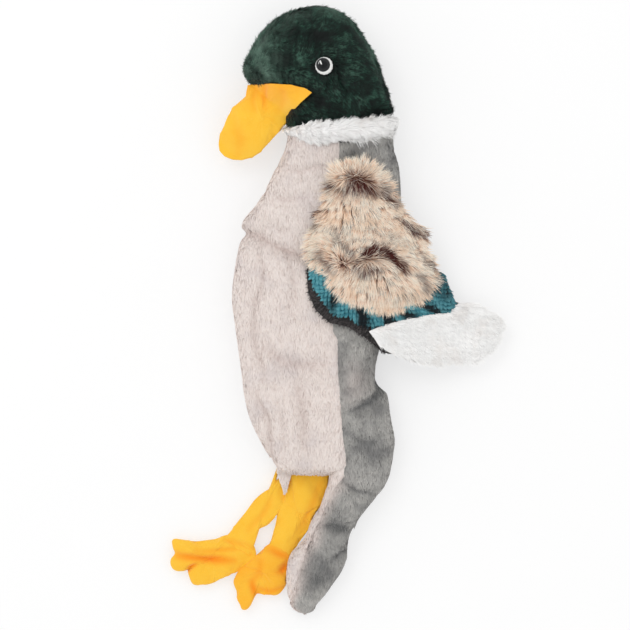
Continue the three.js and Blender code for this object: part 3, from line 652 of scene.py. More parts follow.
body = {
    "torso": [
        [-150, -38, 40, -0.5, 20], [-130, -45.5, 43.5, -0.5, 27], [-109, -58, 45.5, -0.5, 33],
        [-88, -68.2, 43.2, -0.5, 35.5], [-67, -73.4, 41, -0.5, 36], [-47, -75.6, 33.5, -0.5, 36.5],
        [-20, -79.5, 39, -0.5, 38], [5, -83, 44, -0.5, 39], [30, -81, 48, -0.5, 40],
        [48, -77.2, 50, -0.5, 40.5], [58, -74, 50.7, -0.5, 40.8], [67, -75, 51, -0.5, 41.2],
        [86, -62.5, 51, 0, 42], [110, -49.5, 49.5, 4, 44], [128, -40.5, 45.5, 8, 46],
        [143, -38.6, 43.5, 11.5, 47.5], [160, -38.3, 43.5, 12.5, 46.5]],
    "rump": [
        [-185, -33, 10.5, -0.5, 25], [-170, -22, 16, -0.5, 26], [-158, -14.5, 24.5, -0.5, 27],
        [-146, -9.7, 34.5, -0.5, 28.5], [-134, -6, 41, -0.5, 29], [-118, -5.2, 44, -0.5, 30]],
    "tail": [
        [-241.9, -28.5, -25, 5, 8], [-241, -31, -21.5, 3, 10], [-238.5, -34.6, -17.5, 0, 13],
        [-233, -38, -13.5, -0.5, 17], [-222, -39.5, -5.5, -0.5, 20], [-208, -39.8, 3, -0.5, 22.5],
        [-195, -37, 8.2, -0.5, 24], [-182, -28, 10.5, -0.5, 25], [-168, -20.5, 16.5, -0.5, 26],
        [-156, -13, 25.5, -0.5, 26], [-140, -7, 35.5, -0.5, 26]],
    "seam": [
        [0, 200], [0.5, 128.5], [-1, 114], [-4, 104.5], [-4.5, 40], [-3.5, -13], [0, -25], [0.5, -45],
        [2.5, -75], [4.5, -105], [5, -130], [-4.5, -145], [-14.5, -167], [-23, -187], [-29.5, -207],
        [-33.5, -221], [-36, -228], [-40, -260]],
    "skin": 2.4,        # cloth thickness
    "pileRoom": 0.9,    # how far the cloth lies inside the tips of the pile
    "lap": 1.4,         # how far the pale cloth runs on below the grey one's edge
    "square": 0.8,      # the power that squares off the tube's ellipse
    "seamReach": 0.985,     # how far off the middle the seam may lie, as a share of half the width
    "neck": {"centre": 185, "radius": 55.2, "least": 30.0},
    "tailLine": {"x": -2.5, "y": -164.5, "slope": -0.44},
    "lips": {"from": -124, "over": 7.6, "height": 5.5, "narrow": 5},     # the belly closes flat at the legs
    "bellyEnd": -131.4, "rumpEnd": -117, "rumpJoin": (-122, -100), "backRows": (-185, 160, 90),
    "loose": 0.9, "groove": {"left": 2.1, "right": 1.5, "width": 2.2}, "foldShadeDepth": 3.2, "upper": (6, 14),
    "waves": ((26, 0.7, 3, 1.0), (11, 0.6, 5, 0.45)), "wavesFrom": (3, 10),      # size, stretch, seed, share
    "paleEdge": {"share": 0.9, "width": 6, "vary": 2, "ends": (124, 148)},
    "bed": {"clear": 0.5, "over": 0.1},      # how far the cloth stays off the table and off the folded wing
    "folds": [
        (2.6, 4.2, [(-80, 63), (-66, 58), (-48, 50), (-30, 43), (-18, 38), (-5, 34)]),
        (2.2, 2.6, [(-61, 47), (-59, 34), (-59, 21), (-65, 0), (-65, -27), (-58, -46), (-56, -55)]),
        (2.2, 2.6, [(-62, -64), (-62.5, -71), (-54, -87), (-53, -109), (-49, -124)]),
        (2.4, 4.5, [(-30, -60), (-28.5, -72), (-26, -90), (-26, -108)]),
        (2.0, 5.0, [(-58, -28), (-44, -40), (-28, -44), (-12, -42)]),
        (1.2, 3.0, [(-46, 112), (-30, 108), (-14, 112), (-2, 110)]),
        (1.4, 3.5, [(-56, 92), (-40, 86), (-24, 88)]),
        (1.6, 3.0, [(-40, 46), (-34, 20), (-38, -4)]),
        (1.2, 2.6, [(-46, -72), (-42, -92), (-43, -114)]),
        (4.2, 4.5, [(40, -46), (34, -54), (34, -64), (27, -72), (12, -79)]),
        (2.0, 5.0, [(24, -46), (20, -58), (10, -66)]),
        (2.0, 4.0, [(8, -96), (20, -104), (34, -104)]),
        (2.4, 3.2, [(4, -134), (14, -142), (30, -146)]),
        (2.6, 4.0, [(-12, -160), (0, -164), (12, -166)]),
        (1.6, 3.2, [(10, 122), (14, 112), (10, 106)])],
    # painted shade: the shades are soft dark patches painted on the pile
    "shades": [         # soft dark patches of the pile
        (0.7, 10, [(-5, -160), (0, -168), (0, -178)]), (0.85, 9, [(-12, -200), (-16, -208), (-19, -216)]),
        (0.4, 8, [(26, -112), (30, -122)]), (0.35, 9, [(28, 128), (32, 118)])],
    "pales": [(0.5, 9, [(14, -48), (16, -58), (11, -68)])],      # and pale ones
    "tailFolds": [
        (2.6, 5.0, [(-12, -170), (-2, -171), (9, -174)]),
        (2.4, 3.4, [(9, -190), (2, -193), (-4, -198)]),
        (1.8, 6.0, [(-8, -214), (-16, -216), (-20, -224)]),
        (1.6, 5.0, [(-24, -180), (-22, -196), (-28, -212)])],
}


# a table's four edges at any y: its rows on one smooth curve
def edgesAt(table, y):
    dense = curveThrough(table, 60 * len(table))
    order = np.argsort(dense[:, 0])
    return [np.interp(y, dense[order, 0], dense[order, column]) for column in (1, 2, 3, 4)]


# a power of cosine or sine that squares off an ellipse
def squared(value):
    return np.sign(value) * np.abs(value) ** body["square"]


seamLine = curveThrough(body["seam"], 900)
seamLine = seamLine[np.argsort(seamLine[:, 1])]


# one side of a cloth tube: a squared ellipse from the upper seam round its left or right edge to the
# lower seam, in rows between two ends that may be curved. A row's y needs its x and the other way round,
# so both are found by turns
def tubeSide(table, side, ends, rows, cols, inset, lips=False):
    s = np.linspace(0, 1, rows)[:, None]
    t = np.linspace(0, 1, cols)[None]
    lap = body["lap"] if side == "left" else 0.0
    mouth = body["lips"]
    x = np.zeros((rows, cols))
    for again in range(4):
        y = ends[0](x) + s * (ends[1](x) - ends[0](x))
        left, right, low, high = edgesAt(table, y)
        middle, half = (left + right) / 2, (right - left) / 2 - inset
        height, tall = (low + high) / 2, (high - low) / 2 - inset
        if lips:
            shut = np.sqrt(np.clip(1 - (np.maximum(mouth["from"] - y, 0) / mouth["over"]) ** 2, 0.004, 1))
            height, tall = mouth["height"] + (height - mouth["height"]) * shut, np.maximum(tall * shut, 0.2)
            half = half - mouth["narrow"] * (1 - shut)
        half, tall = np.maximum(half, 0.05), np.maximum(tall, 0.05)
        edge = (np.interp(y, seamLine[:, 1], seamLine[:, 0]) - middle) / half
        edge = np.clip(edge, -body["seamReach"], body["seamReach"])
        top = np.arccos(np.sign(edge) * np.abs(edge) ** (1 / body["square"]))
        top = np.maximum(top - lap / np.maximum(half, 8), 0.02) if lap else top
        turn = top + t * (tau - 2 * top) if side == "left" else top * (1 - 2 * t)
        x = middle + half * squared(np.cos(turn))
    z = height + tall * squared(np.sin(turn))
    return np.stack([x, y, z], -1)


wing = {
    "outline": [
        (4, 113), (16, 114.5), (29, 109.5), (45, 92.5), (53, 80), (69, 63), (77, 40), (84, 26), (89.5, 14),
        (93.5, 5), (112, 1.5), (125, -4.5), (131, -12), (127, -21), (117, -36.5), (106, -43.5), (84, -44.3),
        (64, -44), (50, -38), (36, -35.5), (22, -23), (9, -15), (-6, -11.5), (-17, -1.5), (-22.5, 12),
        (-24, 29), (-20, 48), (-16.5, 65), (-8, 85), (-3.5, 101)],
    "centre": (45, 0), "clear": 0.4,
    "lift": 7.7, "bottom": 7.3, "lowest": 0.3,      # heights of the folded wing below the body
    "droopFrom": 15, "droopOver": 95, "droopHeight": 32,
}
wingReach = reachOf(wing["outline"], wing["centre"])


# height of the body's upper side at any place: the middle plus half the height times (1 - across^2.5)^0.4
def bodyTop(x, y):
    left, right, low, high = edgesAt(body["torso"], y)
    across = np.abs((x - (left + right) / 2) / ((right - left) / 2))
    arch = (1 - np.minimum(across, 1) ** 2.5) ** 0.4
    return np.where(across < 1, (low + high) / 2 + (high - low) / 2 * arch, 0)


# how far each point of a grid has run along its row
def runOf(grid):
    return np.cumsum(np.linalg.norm(np.diff(grid, axis=1, prepend=grid[:, :1]), axis=-1), axis=1)


# cloth is pushed in along its folds and beside its seams, lies loose in broad waves, and makes room for the
# wing below it; a fold's painted shade is its depth over a set depth, and the painted shade patches are added
# to it
def settle(grid, outward, folds, groove):
    arrows = arrowsOf(grid, outward, False)
    upper = ease(grid[..., 2], *body["upper"])
    fold = foldsAt(grid[..., 0], grid[..., 1], folds) * upper
    shade = foldsAt(grid[..., 0], grid[..., 1], body["shades"]) * upper
    waves = sum(noiseAt(grid * [1, long, 1], size, seed) * body["loose"] * share
                for size, long, seed, share in body["waves"])
    push = fold - waves * ease(grid[..., 2], *body["wavesFrom"])
    run = runOf(grid)
    gap = np.minimum(run, run[:, -1:] - run)
    push = push + groove * np.exp(-(gap / body["groove"]["width"]) ** 2)
    moved = grid - arrows * push[..., None]
    inBed = ease(shareIn(moved[..., 0], moved[..., 1], wing["centre"], wingReach), 1.07, 1.0)
    bed = body["bed"]["clear"] + (wing["lift"] + body["bed"]["over"]) * inBed
    moved[..., 2] = np.maximum(moved[..., 2], bed)
    return moved, np.clip(fold / body["foldShadeDepth"] + shade, 0, 1)


bodyLoose = {"rows": 60, "cols": 36, "stiff": 8.0, "bend": 4.0, "slack": 0.008, "pressure": 1.2, "cap": 3.0,
             "steps": 20}
bodyPile = {"count": 56000, "length": 4.6, "vary": 0.3, "lift": 0.14, "reach": 0.92, "width": 1.2,
            "lock": 3.4, "clump": 0.12, "stray": 0.12, "roll": 0.42, "steps": 2, "wave": 0.1, "seed": 11}


# where the body's cloth ends at any x: at the neck, on a circle round the head's middle
def neckEnd(x):
    neck = body["neck"]
    return neck["centre"] - np.sqrt(np.maximum(neck["radius"] ** 2 - x ** 2, neck["least"] ** 2))


# and at the tail, on a slanted line
def tailEnd(x):
    line = body["tailLine"]
    return line["y"] + line["slope"] * (x - line["x"])


# hairs that the folded wing presses on are a quarter as long
def underWing(root):
    share = shareIn(root[:, 0], root[:, 1], wing["centre"], wingReach)
    return 1 - 0.75 * ease(share, 1.02, 0.94)


# toward the tail, with a little noise
def combDown(root):
    return np.stack([0.15 * noiseAt(root, 30, 8), -1 + 0.2 * noiseAt(root, 22, 9), 0 * root[:, 0]], 1)


# a piece's skin from a tube side, with its pile; where it has a pale edge, the other cloth's pile hangs over
# its seam by exp(-(distance / fringe)^2)
def clothTube(piece, table, side, ends, rows, cols, folds, pile, lips=False, chart=(0.0, 1.0),
              inset=body["pileRoom"], thin=None, loose=None, paleEdge=False):
    outer = tubeSide(table, side, ends, rows, cols, inset, lips)
    within = tubeSide(table, side, ends, rows, cols, inset + body["skin"], lips)
    outward = outer - within + 1e-6 * unit(outer - outer.mean((0, 1)))
    if loose:
        outer = loosen(outer, outward, loose)
    outer, fold = settle(outer, outward, folds, body["groove"][side])
    inner = outer - body["skin"] * arrowsOf(outer, outward, False)
    inner[..., 2] = np.maximum(inner[..., 2], 0.3)
    edge = 0.0
    if paleEdge:
        look = body["paleEdge"]
        fringe = look["width"] + look["vary"] * noiseAt(outer, 9, 17)
        edge = look["share"] * np.exp(-(runOf(outer) / fringe) ** 2) * ease(-outer[..., 1], *look["ends"])
        pale = foldsAt(outer[..., 0], outer[..., 1], body["pales"])
        edge = edge + pale * ease(outer[..., 2], *body["upper"])
    piece.skin(outer, inner, fold, chart=chart, edge=edge)
    piece.pile(outer, outward, combDown, pile, thin=thin, chart=chart, fold=fold, edge=edge)
    return outer, outward


print("body")
belly = Piece("belly_cloth")
bellyEnds = (lambda x: x * 0 + body["bellyEnd"], neckEnd)
front, frontOut = clothTube(belly, body["torso"], "left", bellyEnds, 170, 96, body["folds"], bodyPile,
                            lips=True, chart=(0.0, 0.68), thin=underWing, loose=bodyLoose)

# hairs that stand out over the belly's lower hem, and the pale cloth that runs on to the tail
hem = {**bodyPile, "count": 700, "length": 3.2, "lift": 0.7, "reach": 0.5, "stray": 0.3, "seed": 14}
belly.pile(front[:4], frontOut[:4], combDown, hem, chart=(0.69, 0.72))
clothTube(belly, body["rump"], "left", (tailEnd, lambda x: x * 0 + body["rumpEnd"]), 40, 50, body["folds"],
          {**bodyPile, "count": 5000, "seed": 12}, chart=(0.73, 0.86))

# a small flap of the belly's cloth between the legs
crotch = {"outline": [(-47.5, -127), (-36, -127), (-37, -133), (-41, -148.5), (-44.5, -138)],
          "centre": (-41.5, -133), "z": 11.4, "thick": 0.4, "swell": 1.6}
share, x, y = ringsTo(crotch["centre"], reachOf(crotch["outline"], crotch["centre"], smooth=False), 8, 48)
flap = spotsAt(x, y, crotch["z"] + crotch["thick"] + crotch["swell"] * (1 - share ** 3))
belly.skin(flap, spotsAt(x, y, crotch["z"]), wrap=True, pole=True, chart=(0.87, 0.99))
belly.pile(flap, spotsAt(0 * x, 0, 1.0), combDown, {**bodyPile, "count": 900, "length": 3.0, "seed": 13},
           wrap=True, chart=(0.87, 0.99))
place(belly, bellyPlush, ["belly_panel"], "body")


# the back's table: the torso's edges, eased into the rump's
def backTable():
    y = np.linspace(*body["backRows"])
    share = ease(y, *body["rumpJoin"])
    both = zip(edgesAt(body["torso"], y), edgesAt(body["rump"], y))
    return np.stack([y] + [a * share + b * (1 - share) for a, b in both], 1)


back = Piece("back_cloth")
backPile = {**bodyPile, "count": 54000, "length": 4.2, "seed": 21}
clothTube(back, backTable(), "right", (tailEnd, neckEnd), 180, 84, body["folds"], backPile, thin=underWing,
          loose=bodyLoose, paleEdge=True)
place(back, greyPlush, ["back_panel"], "body")

print("tail")
tail = {"end": -241.8, "overlap": 12, "inset": 0.8,
        "bend": ("body", "tail", (0.5, -158.4, 13), (-7.5, -172, 13)),
        "loose": {**bodyLoose, "rows": 40, "cols": 30}, "pile": {**bodyPile, "length": 4.0}}
tailEnds = (lambda x: x * 0 + tail["end"], lambda x: tailEnd(x) + tail["overlap"])
for name, side, cols, finish, pile in (("top", "right", 60, greyPlush, {"count": 20000, "seed": 31}),
                                       ("under", "left", 44, bellyPlush, {"count": 8000, "seed": 32})):
    cloth = Piece(f"tail_{name}_cloth")
    clothTube(cloth, body["tail"], side, tailEnds, 90, cols, body["tailFolds"], {**tail["pile"], **pile},
              inset=tail["inset"], loose=tail["loose"], paleEdge=name == "top")
    place(cloth, finish, [f"tail_{name}_panel"], "tail", bend=tail["bend"])

# head

head = {
    "crown": [(-70, 176), (-75, 188), (-70, 201), (-58, 220), (-40, 233), (-17, 238.5), (3, 233), (19, 218),
              (32, 196), (40, 172), (44.5, 154)],
    "centre": (0, 185), "thickness": 59, "middle": 29.5, "nape": {"radius": 54.3, "turns": (-44, -134, -9.0)},
    "corner": {"turn": math.radians(227), "wide": 0.13, "out": 6.2},     # the throat's corner
    "insets": (3.4, 6.0), "cloth": 2.4, "lowest": (1.0, 0.6), "lumps": 0.9,
    # brow and crown: a painted sheen on the hair tips, paler at the brow and along the crown's rim
    "browSheen": {"x": -65, "y": 189, "size": 17, "share": 0.62}, "crownSheen": 0.4,
    "wad": {"inset": 7.0, "lumps": 1.6, "gap": 0.4, "bulbAt": (-6, 192), "bulb": 18, "bulbHalf": 9.6},
}
napeTurns = np.radians(np.arange(*head["nape"]["turns"]))
nape = np.stack([np.cos(napeTurns), np.sin(napeTurns)], 1) * head["nape"]["radius"] + head["centre"]
headOutline = np.vstack([evenly(head["crown"], 60), nape])
headReach = reachOf(headOutline, head["centre"], smooth=False)


# half the head's thickness at a share of its reach: flat in the middle and steep at the rim, as
# (1 - share^2.3)^0.55
def headHalf(share, inset):
    return (head["thickness"] / 2 + 0.5 - inset) * np.maximum(1 - share ** 2.3, 0) ** 0.55 + 0.6


# one side of the head: rings that rise to half its thickness, with lumps that fade at the rim
def headDome(side, rings, steps, inset, lumps):
    corner = head["corner"]

    def reach(turn):
        bulge = np.exp(-((np.mod(turn, tau) - corner["turn"]) / corner["wide"]) ** 2)
        return headReach(turn) - inset + corner["out"] * bulge

    share, x, y = ringsTo(head["centre"], reach, rings, steps)
    dome = spotsAt(x, y, head["middle"] + side * headHalf(share, inset))
    swell = lumps * (noiseAt(dome, 24, 14) + 0.5 * noiseAt(dome, 11, 15))
    dome[..., 2] += side * swell * ease(1 - share, 0, 0.12)
    dome[..., 2] = np.maximum(dome[..., 2], inset)
    return dome


face = {
    "outline": [(-70.5, 175.5), (-72, 167), (-76, 163.5), (-82.5, 158), (-86.5, 150.5), (-89.5, 143.5),
                (-92.5, 137), (-93.5, 130), (-92.8, 124), (-89, 119.8), (-82.5, 117.3), (-74.5, 116.8),
                (-67, 118.6), (-60.5, 122.6), (-54.5, 129), (-46, 138), (-40.5, 145), (-34.5, 154),
                (-28.5, 160.5), (-19.5, 168.3), (-25, 171.8), (-36, 174.6), (-52.5, 176), (-63.5, 176)],
    "centre": (-60, 152),
    "rootFrom": (-70, 176), "rootTo": (-39.5, 147), "droop": 13, "length": 48, "inset": 0.3,
    "pad": {"thick": 6.8, "thinner": 2.8, "edge": 0.16}, "join": (-16, 8), "behind": 7.0, "lower": 1.9,
    "lump": 0.5, "bendAt": (-54.7, 161.5, 29.5), "bend": (-2.0, 11.0),
    "folds": [(1.0, 2.4, [(-56, 176), (-57, 166), (-56, 156)]),
              (0.8, 2.2, [(-64, 172), (-66, 162), (-64, 154)]),
              (0.7, 2.6, [(-44, 174), (-42, 164), (-46, 154)]),
              (0.8, 4.0, [(-80, 146), (-76, 134), (-78, 124)])],
}
faceReach = reachOf(face["outline"], face["centre"], smooth=False)
rootLine = unit(np.array(face["rootTo"]) - np.array(face["rootFrom"]))
rootOut = np.array([rootLine[1], -rootLine[0]])
eye = {
    "centre": (-10.1, 188.9), "pupil": 5.5, "shift": (-0.9, 0.9),
    "ring": {"gap": 0.15, "wide": 0.12, "fuller": 1.2},
    "left": {"z": 58.0, "crown": 1.2, "thick": 0.9}, "right": {"z": 1.9, "crown": 0.2, "thick": 0.3},
    "span": 8, "ridge": 0.14, "deep": 1.2, "clear": (6.0, 8.6), "clearBelow": 2.6, "highFrom": 9,
    "fullerAt": -0.785,
    "glints": [(1.25, [(-13.4, 193.3), (-12.9, 191.7), (-12.0, 189.9)]),
               (0.45, [(-14.6, 190.2), (-14.2, 191.8), (-13.6, 192.6)])],
}


# the pile is short beside the face's patch, and there is none round the eyes, wider below
def headThin(root):
    share = shareIn(root[:, 0], root[:, 1], face["centre"], faceReach)
    gap = np.hypot(root[:, 0] - eye["centre"][0], root[:, 1] - eye["centre"][1])
    high = np.abs(root[:, 2] - head["middle"]) > eye["highFrom"]
    gap = gap - eye["clearBelow"] * (root[:, 2] < head["middle"])
    nearEye = ease(gap, *eye["clear"]) * high + 1 - high
    return (0.35 * ease(share, 0.98, 1.01) + 0.65 * ease(share, 1.0, 1.14)) * nearEye


# the head's pile runs back from the bill and swirls a little round the cheek
def combHead(root):
    arm = root[:, :2] - np.array([-64, 168])
    swirl = noiseAt(root, 21, 41) * 1.5
    flow = unit(arm) * 0.7 + np.array([0.25, -0.45])
    share = shareIn(root[:, 0], root[:, 1], head["centre"], headReach)[:, None]
    radial = unit(root[:, :2] - np.array(head["centre"]))
    flow = flow - 0.8 * ease(share, 0.7, 0.98) * radial * np.sum(flow * radial, 1, keepdims=True)
    swirl = swirl * (1 - 0.7 * ease(share[:, 0], 0.75, 0.98))
    turned = np.stack([flow[:, 0] * np.cos(swirl) - flow[:, 1] * np.sin(swirl),
                       flow[:, 0] * np.sin(swirl) + flow[:, 1] * np.cos(swirl)], 1)
    return np.column_stack([turned, 0 * turned[:, 0]])


print("head")
headLoose = {"rows": 28, "cols": 91, "stiff": 10.0, "bend": 0.3, "slack": 0.03, "pressure": 3.0, "cap": 1.6,
             "steps": 20}
headPile = {"count": 60000, "length": 7.4, "vary": 0.5, "lift": 0.34, "reach": 0.82, "width": 0.66,
            "lock": 4.8, "clump": 0.42, "stray": 0.14, "steps": 2, "wave": 0.2, "seed": 51}
browSheen, wad = head["browSheen"], head["wad"]
for side, name in sides:
    cloth = Piece(f"head_{name}_cloth")
    outer, inner = (headDome(side, 40, 180, inset, head["lumps"]) for inset in head["insets"])
    outward = outer - inner + np.array([0, 0, 1e-3 * side])
    outer = loosen(outer, outward, headLoose, wrap=True, pole=True)
    outer[..., 2] = np.maximum(outer[..., 2], head["lowest"][0])
    inner = outer - head["cloth"] * arrowsOf(outer, outward, True)
    inner[..., 2] = np.maximum(inner[..., 2], head["lowest"][1])
    cloth.skin(outer, inner, wrap=True, pole=True)
    x, y = outer[..., 0], outer[..., 1]
    # painted sheen: the hair tips go pale at the brow and along the top of the crown's rim, varied by noise
    onBrowSheen = np.exp(-(np.hypot(x - browSheen["x"], y - browSheen["y"]) / browSheen["size"]) ** 2)
    crown = ease(shareIn(x, y, head["centre"], headReach), 0.7, 1) * ease(y, 170, 205)
    pale = (browSheen["share"] * onBrowSheen + head["crownSheen"] * crown) * (0.55 + 0.75 * noiseAt(outer, 4.5, 43))
    look = headPile if side > 0 else {**headPile, "count": 34000, "seed": 52}
    cloth.pile(outer, outward, combHead, look, wrap=True, thin=headThin, edge=np.clip(pale, 0, 1))
    place(cloth, greenPlush, [f"head_{name}_panel"], "head", 0.8)

    fibre = Piece(f"head_{name}_wad")
    outer = headDome(side, 20, 80, wad["inset"], wad["lumps"])
    keepOut = shareIn(outer[..., 0], outer[..., 1], wad["bulbAt"], lambda turn: wad["bulb"] + 0 * turn)
    inner = outer.copy()
    inner[..., 2] = head["middle"] + side * (wad["gap"] + wad["bulbHalf"] * ease(keepOut, 1.1, 0.95))
    fibre.skin(outer, inner, wrap=True, pole=True)
    place(fibre, fibreFill, [f"head_filling_{name}"], "head", 0.7)

print("bill")
billLoose = {**headLoose, "rows": 18, "cols": 61, "pressure": 1.5, "cap": 1.4}


# the bill's half thickness, and its reach from the root line: the head's swell behind the line is eased into
# a flat pad before it, whose edge is rounded as the root of 1 - share^2.6
def billHalf(x, y, share, extra):
    out = (x - face["rootFrom"][0]) * rootOut[0] + (y - face["rootFrom"][1]) * rootOut[1]
    headShare = np.minimum(shareIn(x, y, head["centre"], headReach), 0.995)
    onHead = np.maximum(headHalf(headShare, 1.2) + 0.6, face["behind"]) + extra
    reach = np.clip(out / face["length"], 0, 1)
    pad = face["pad"]
    rounded = pad["edge"] + (1 - pad["edge"]) * np.sqrt(np.maximum(1 - share ** 2.6, 0))
    onPad = ease(out, *face["join"])
    return onHead * (1 - onPad) + (pad["thick"] - pad["thinner"] * reach) * rounded * onPad, reach


for side, name in sides:
    cloth = Piece(f"bill_{name}_cloth")
    share, x, y = ringsTo(face["centre"], lambda turn: faceReach(turn) - face["inset"], 32, 180)
    half, reach = billHalf(x, y, share, 0 if side > 0 else face["lower"])
    middle = head["middle"] - face["droop"] * reach ** 1.5
    fold = foldsAt(x, y, face["folds"])
    lump = face["lump"] * lumpsAt(x, y, 13, 61) * (1 - share ** 4)
    outer = spotsAt(x, y, middle + side * (half + lump - fold * 0.8))
    inner = spotsAt(x, y, middle + side * (0.12 * (1 - share) + 0.1))
    outer = loosen(outer, outer - inner, billLoose, wrap=True, pole=True)
    # the fold value: painted shade in the face's folds, plus a deeper orange toward the face's top
    cloth.skin(outer, inner, np.clip(fold * 0.25 + 0.36 * ease(y, 150, 178), 0, 0.6), wrap=True, pole=True)
    start, end = (np.array(face["bendAt"]) + np.append(rootOut * far, 0) for far in face["bend"])
    place(cloth, orangeFleece, [f"face_{name}_panel", f"bill_{name}_panel"], "bill", 0.25,
          ("head", "bill", start, end))

print("eyes")


# an embroidered ring or disc, from a low to a high reach: satin stitches as ridges round it, a thickness that
# falls off at its edges as 1 - |2t - 1|^3, and a crown over the whole eye as 1 - (radius / span)^2
def stitched(low, high, look, side, thick, stitches, crown):
    turn = np.linspace(0, tau, 241)[None]
    t = np.linspace(0, 1, 13)[:, None]
    radius = low(turn) + (high(turn) - low(turn)) * t
    ridge = eye["ridge"] * np.cos(turn * stitches) * np.sin(np.pi * np.clip(t, 0.05, 0.95))
    height = thick * (1 - np.abs(2 * t - 1) ** 3) + ridge + crown * (1 - (radius / eye["span"]) ** 2)
    x, y = pupilAt[0] + radius * np.cos(turn), pupilAt[1] + radius * np.sin(turn)
    return spotsAt(x, y, look["z"] + side * height), spotsAt(x, y, look["z"] - side * eye["deep"])


# a ring wider on one side, by the cosine of the turn
def ringRim(turn):
    rim = eye["ring"]
    fuller = rim["fuller"] * (1 + np.cos(turn - eye["fullerAt"]))
    return eye["pupil"] + rim["wide"] + fuller + 0.1 * np.cos(turn * 17)


pupilAt = np.add(eye["centre"], eye["shift"])
for side, name in sides:
    look = eye[name]
    ring = Piece(f"eye_{name}_ring_stitches")
    ring.skin(*stitched(lambda turn: eye["pupil"] - eye["ring"]["gap"] + 0 * turn, ringRim, look, side,
                        look["thick"], 64, look["crown"]), wrap=True)
    place(ring, whiteThread, [f"eye_{name}_ring"], "head", None)
    domed = look["crown"] + 0.5 * look["thick"]
    pupil = Piece(f"eye_{name}_pupil_stitches")
    pupil.skin(*stitched(lambda turn: 0.02 + 0 * turn, lambda turn: eye["pupil"] + 0 * turn, look, side,
                         0.0, 40, domed), wrap=True)
    place(pupil, blackThread, [f"eye_{name}_pupil"], "head", None)
    glint = Piece(f"eye_{name}_glint_stitches")
    for number, (wide, line) in enumerate(eye["glints"]):
        spine = evenly(line, 24)
        across = unit(np.stack([-np.gradient(spine[:, 1]), np.gradient(spine[:, 0])], 1))
        t = np.linspace(-1, 1, 9)[None, :, None]
        taper = np.sin(np.pi * np.linspace(0.06, 0.94, 24))[:, None, None] ** 0.6
        flat = spine[:, None] + across[:, None] * t * taper * wide / 2
        gap = np.hypot(flat[..., 0] - pupilAt[0], flat[..., 1] - pupilAt[1])
        rise = look["z"] + side * (domed - look["crown"] * (gap / eye["span"]) ** 2)
        glint.skin(np.dstack([flat, rise + side * (0.12 + 0.3 * (1 - t[..., 0] ** 2))]),
                   np.dstack([flat, rise - side * 0.3]), chart=(0.5 * number, 0.5 * number + 0.5))
    place(glint, whiteThread, [], "head", None)

# collar

collar = {"x": 0.8, "y": 141.6, "halfWidth": 44.5, "halfHeight": 25, "slope": math.tan(math.radians(3.2)),
          "sag": 3.6, "depth": 3.4, "width": 5.6, "lean": 4.5, "inside": 3.6, "outside": 0.2}
print("collar")


# where the collar runs: tilted, and sagging in the middle by the square across
def collarLine(x):
    across = (x - collar["x"]) / collar["halfWidth"]
    return collar["y"] + across * collar["halfWidth"] * collar["slope"] - collar["sag"] * (1 - across ** 2)


# a ring round the neck whose section is an ellipse: the ring's own turn and a roll round its cord
def collarRing(shrink):
    turn = np.linspace(0, tau, 161)[:, None]
    roll = np.linspace(0, tau, 33)[None]
    out = (collar["depth"] - shrink) * np.cos(roll)
    along = (collar["width"] - shrink) * np.sin(roll)
    lean = collar["lean"] * ease(-np.sin(roll), -0.3, 1)     # the edge toward the body is drawn in onto it
    x = collar["x"] + (collar["halfWidth"] - collar["inside"] + out - 0.4 * lean) * np.cos(turn)
    z = head["middle"] + (collar["halfHeight"] + collar["outside"] + out - lean) * np.sin(turn)
    thin = 0.3 + 0.7 * ease(x, -42, -16)
    return np.stack([x, collarLine(x) + along * thin, np.maximum(z, 1.0)], -1)


# the fur falls down over the body, and up over the head on the upper half of its roll
def combCollar(root):
    up = np.clip((root[:, 1] - collarLine(root[:, 0])) / 5, -1, 1)
    side = np.clip((root[:, 0] - collar["x"]) / 40, -1, 1)
    lean = noiseAt(root, 14, 71)
    return np.stack([0.75 + 0.35 * side + 0.3 * lean, up * 0.75 - 0.2, 0 * up], 1)


fur = Piece("collar_fur")
outer, inner = collarRing(0.0), collarRing(2.0)
fur.skin(outer, inner, wrap=True)
fur.pile(outer, outer - inner, combCollar, {
    "count": 26000, "length": 10.5, "vary": 0.5, "lift": 0.26, "reach": 0.85, "width": 0.75, "lock": 7.0,
    "clump": 0.7, "stray": 0.24, "roll": 0.35, "steps": 3, "wave": 0.5, "seed": 72,
}, wrap=True, thin=lambda root: 0.3 + 0.58 * ease(root[:, 0], -40, -14))
place(fur, whiteFur, ["collar"], "body", 0.5)

# wings

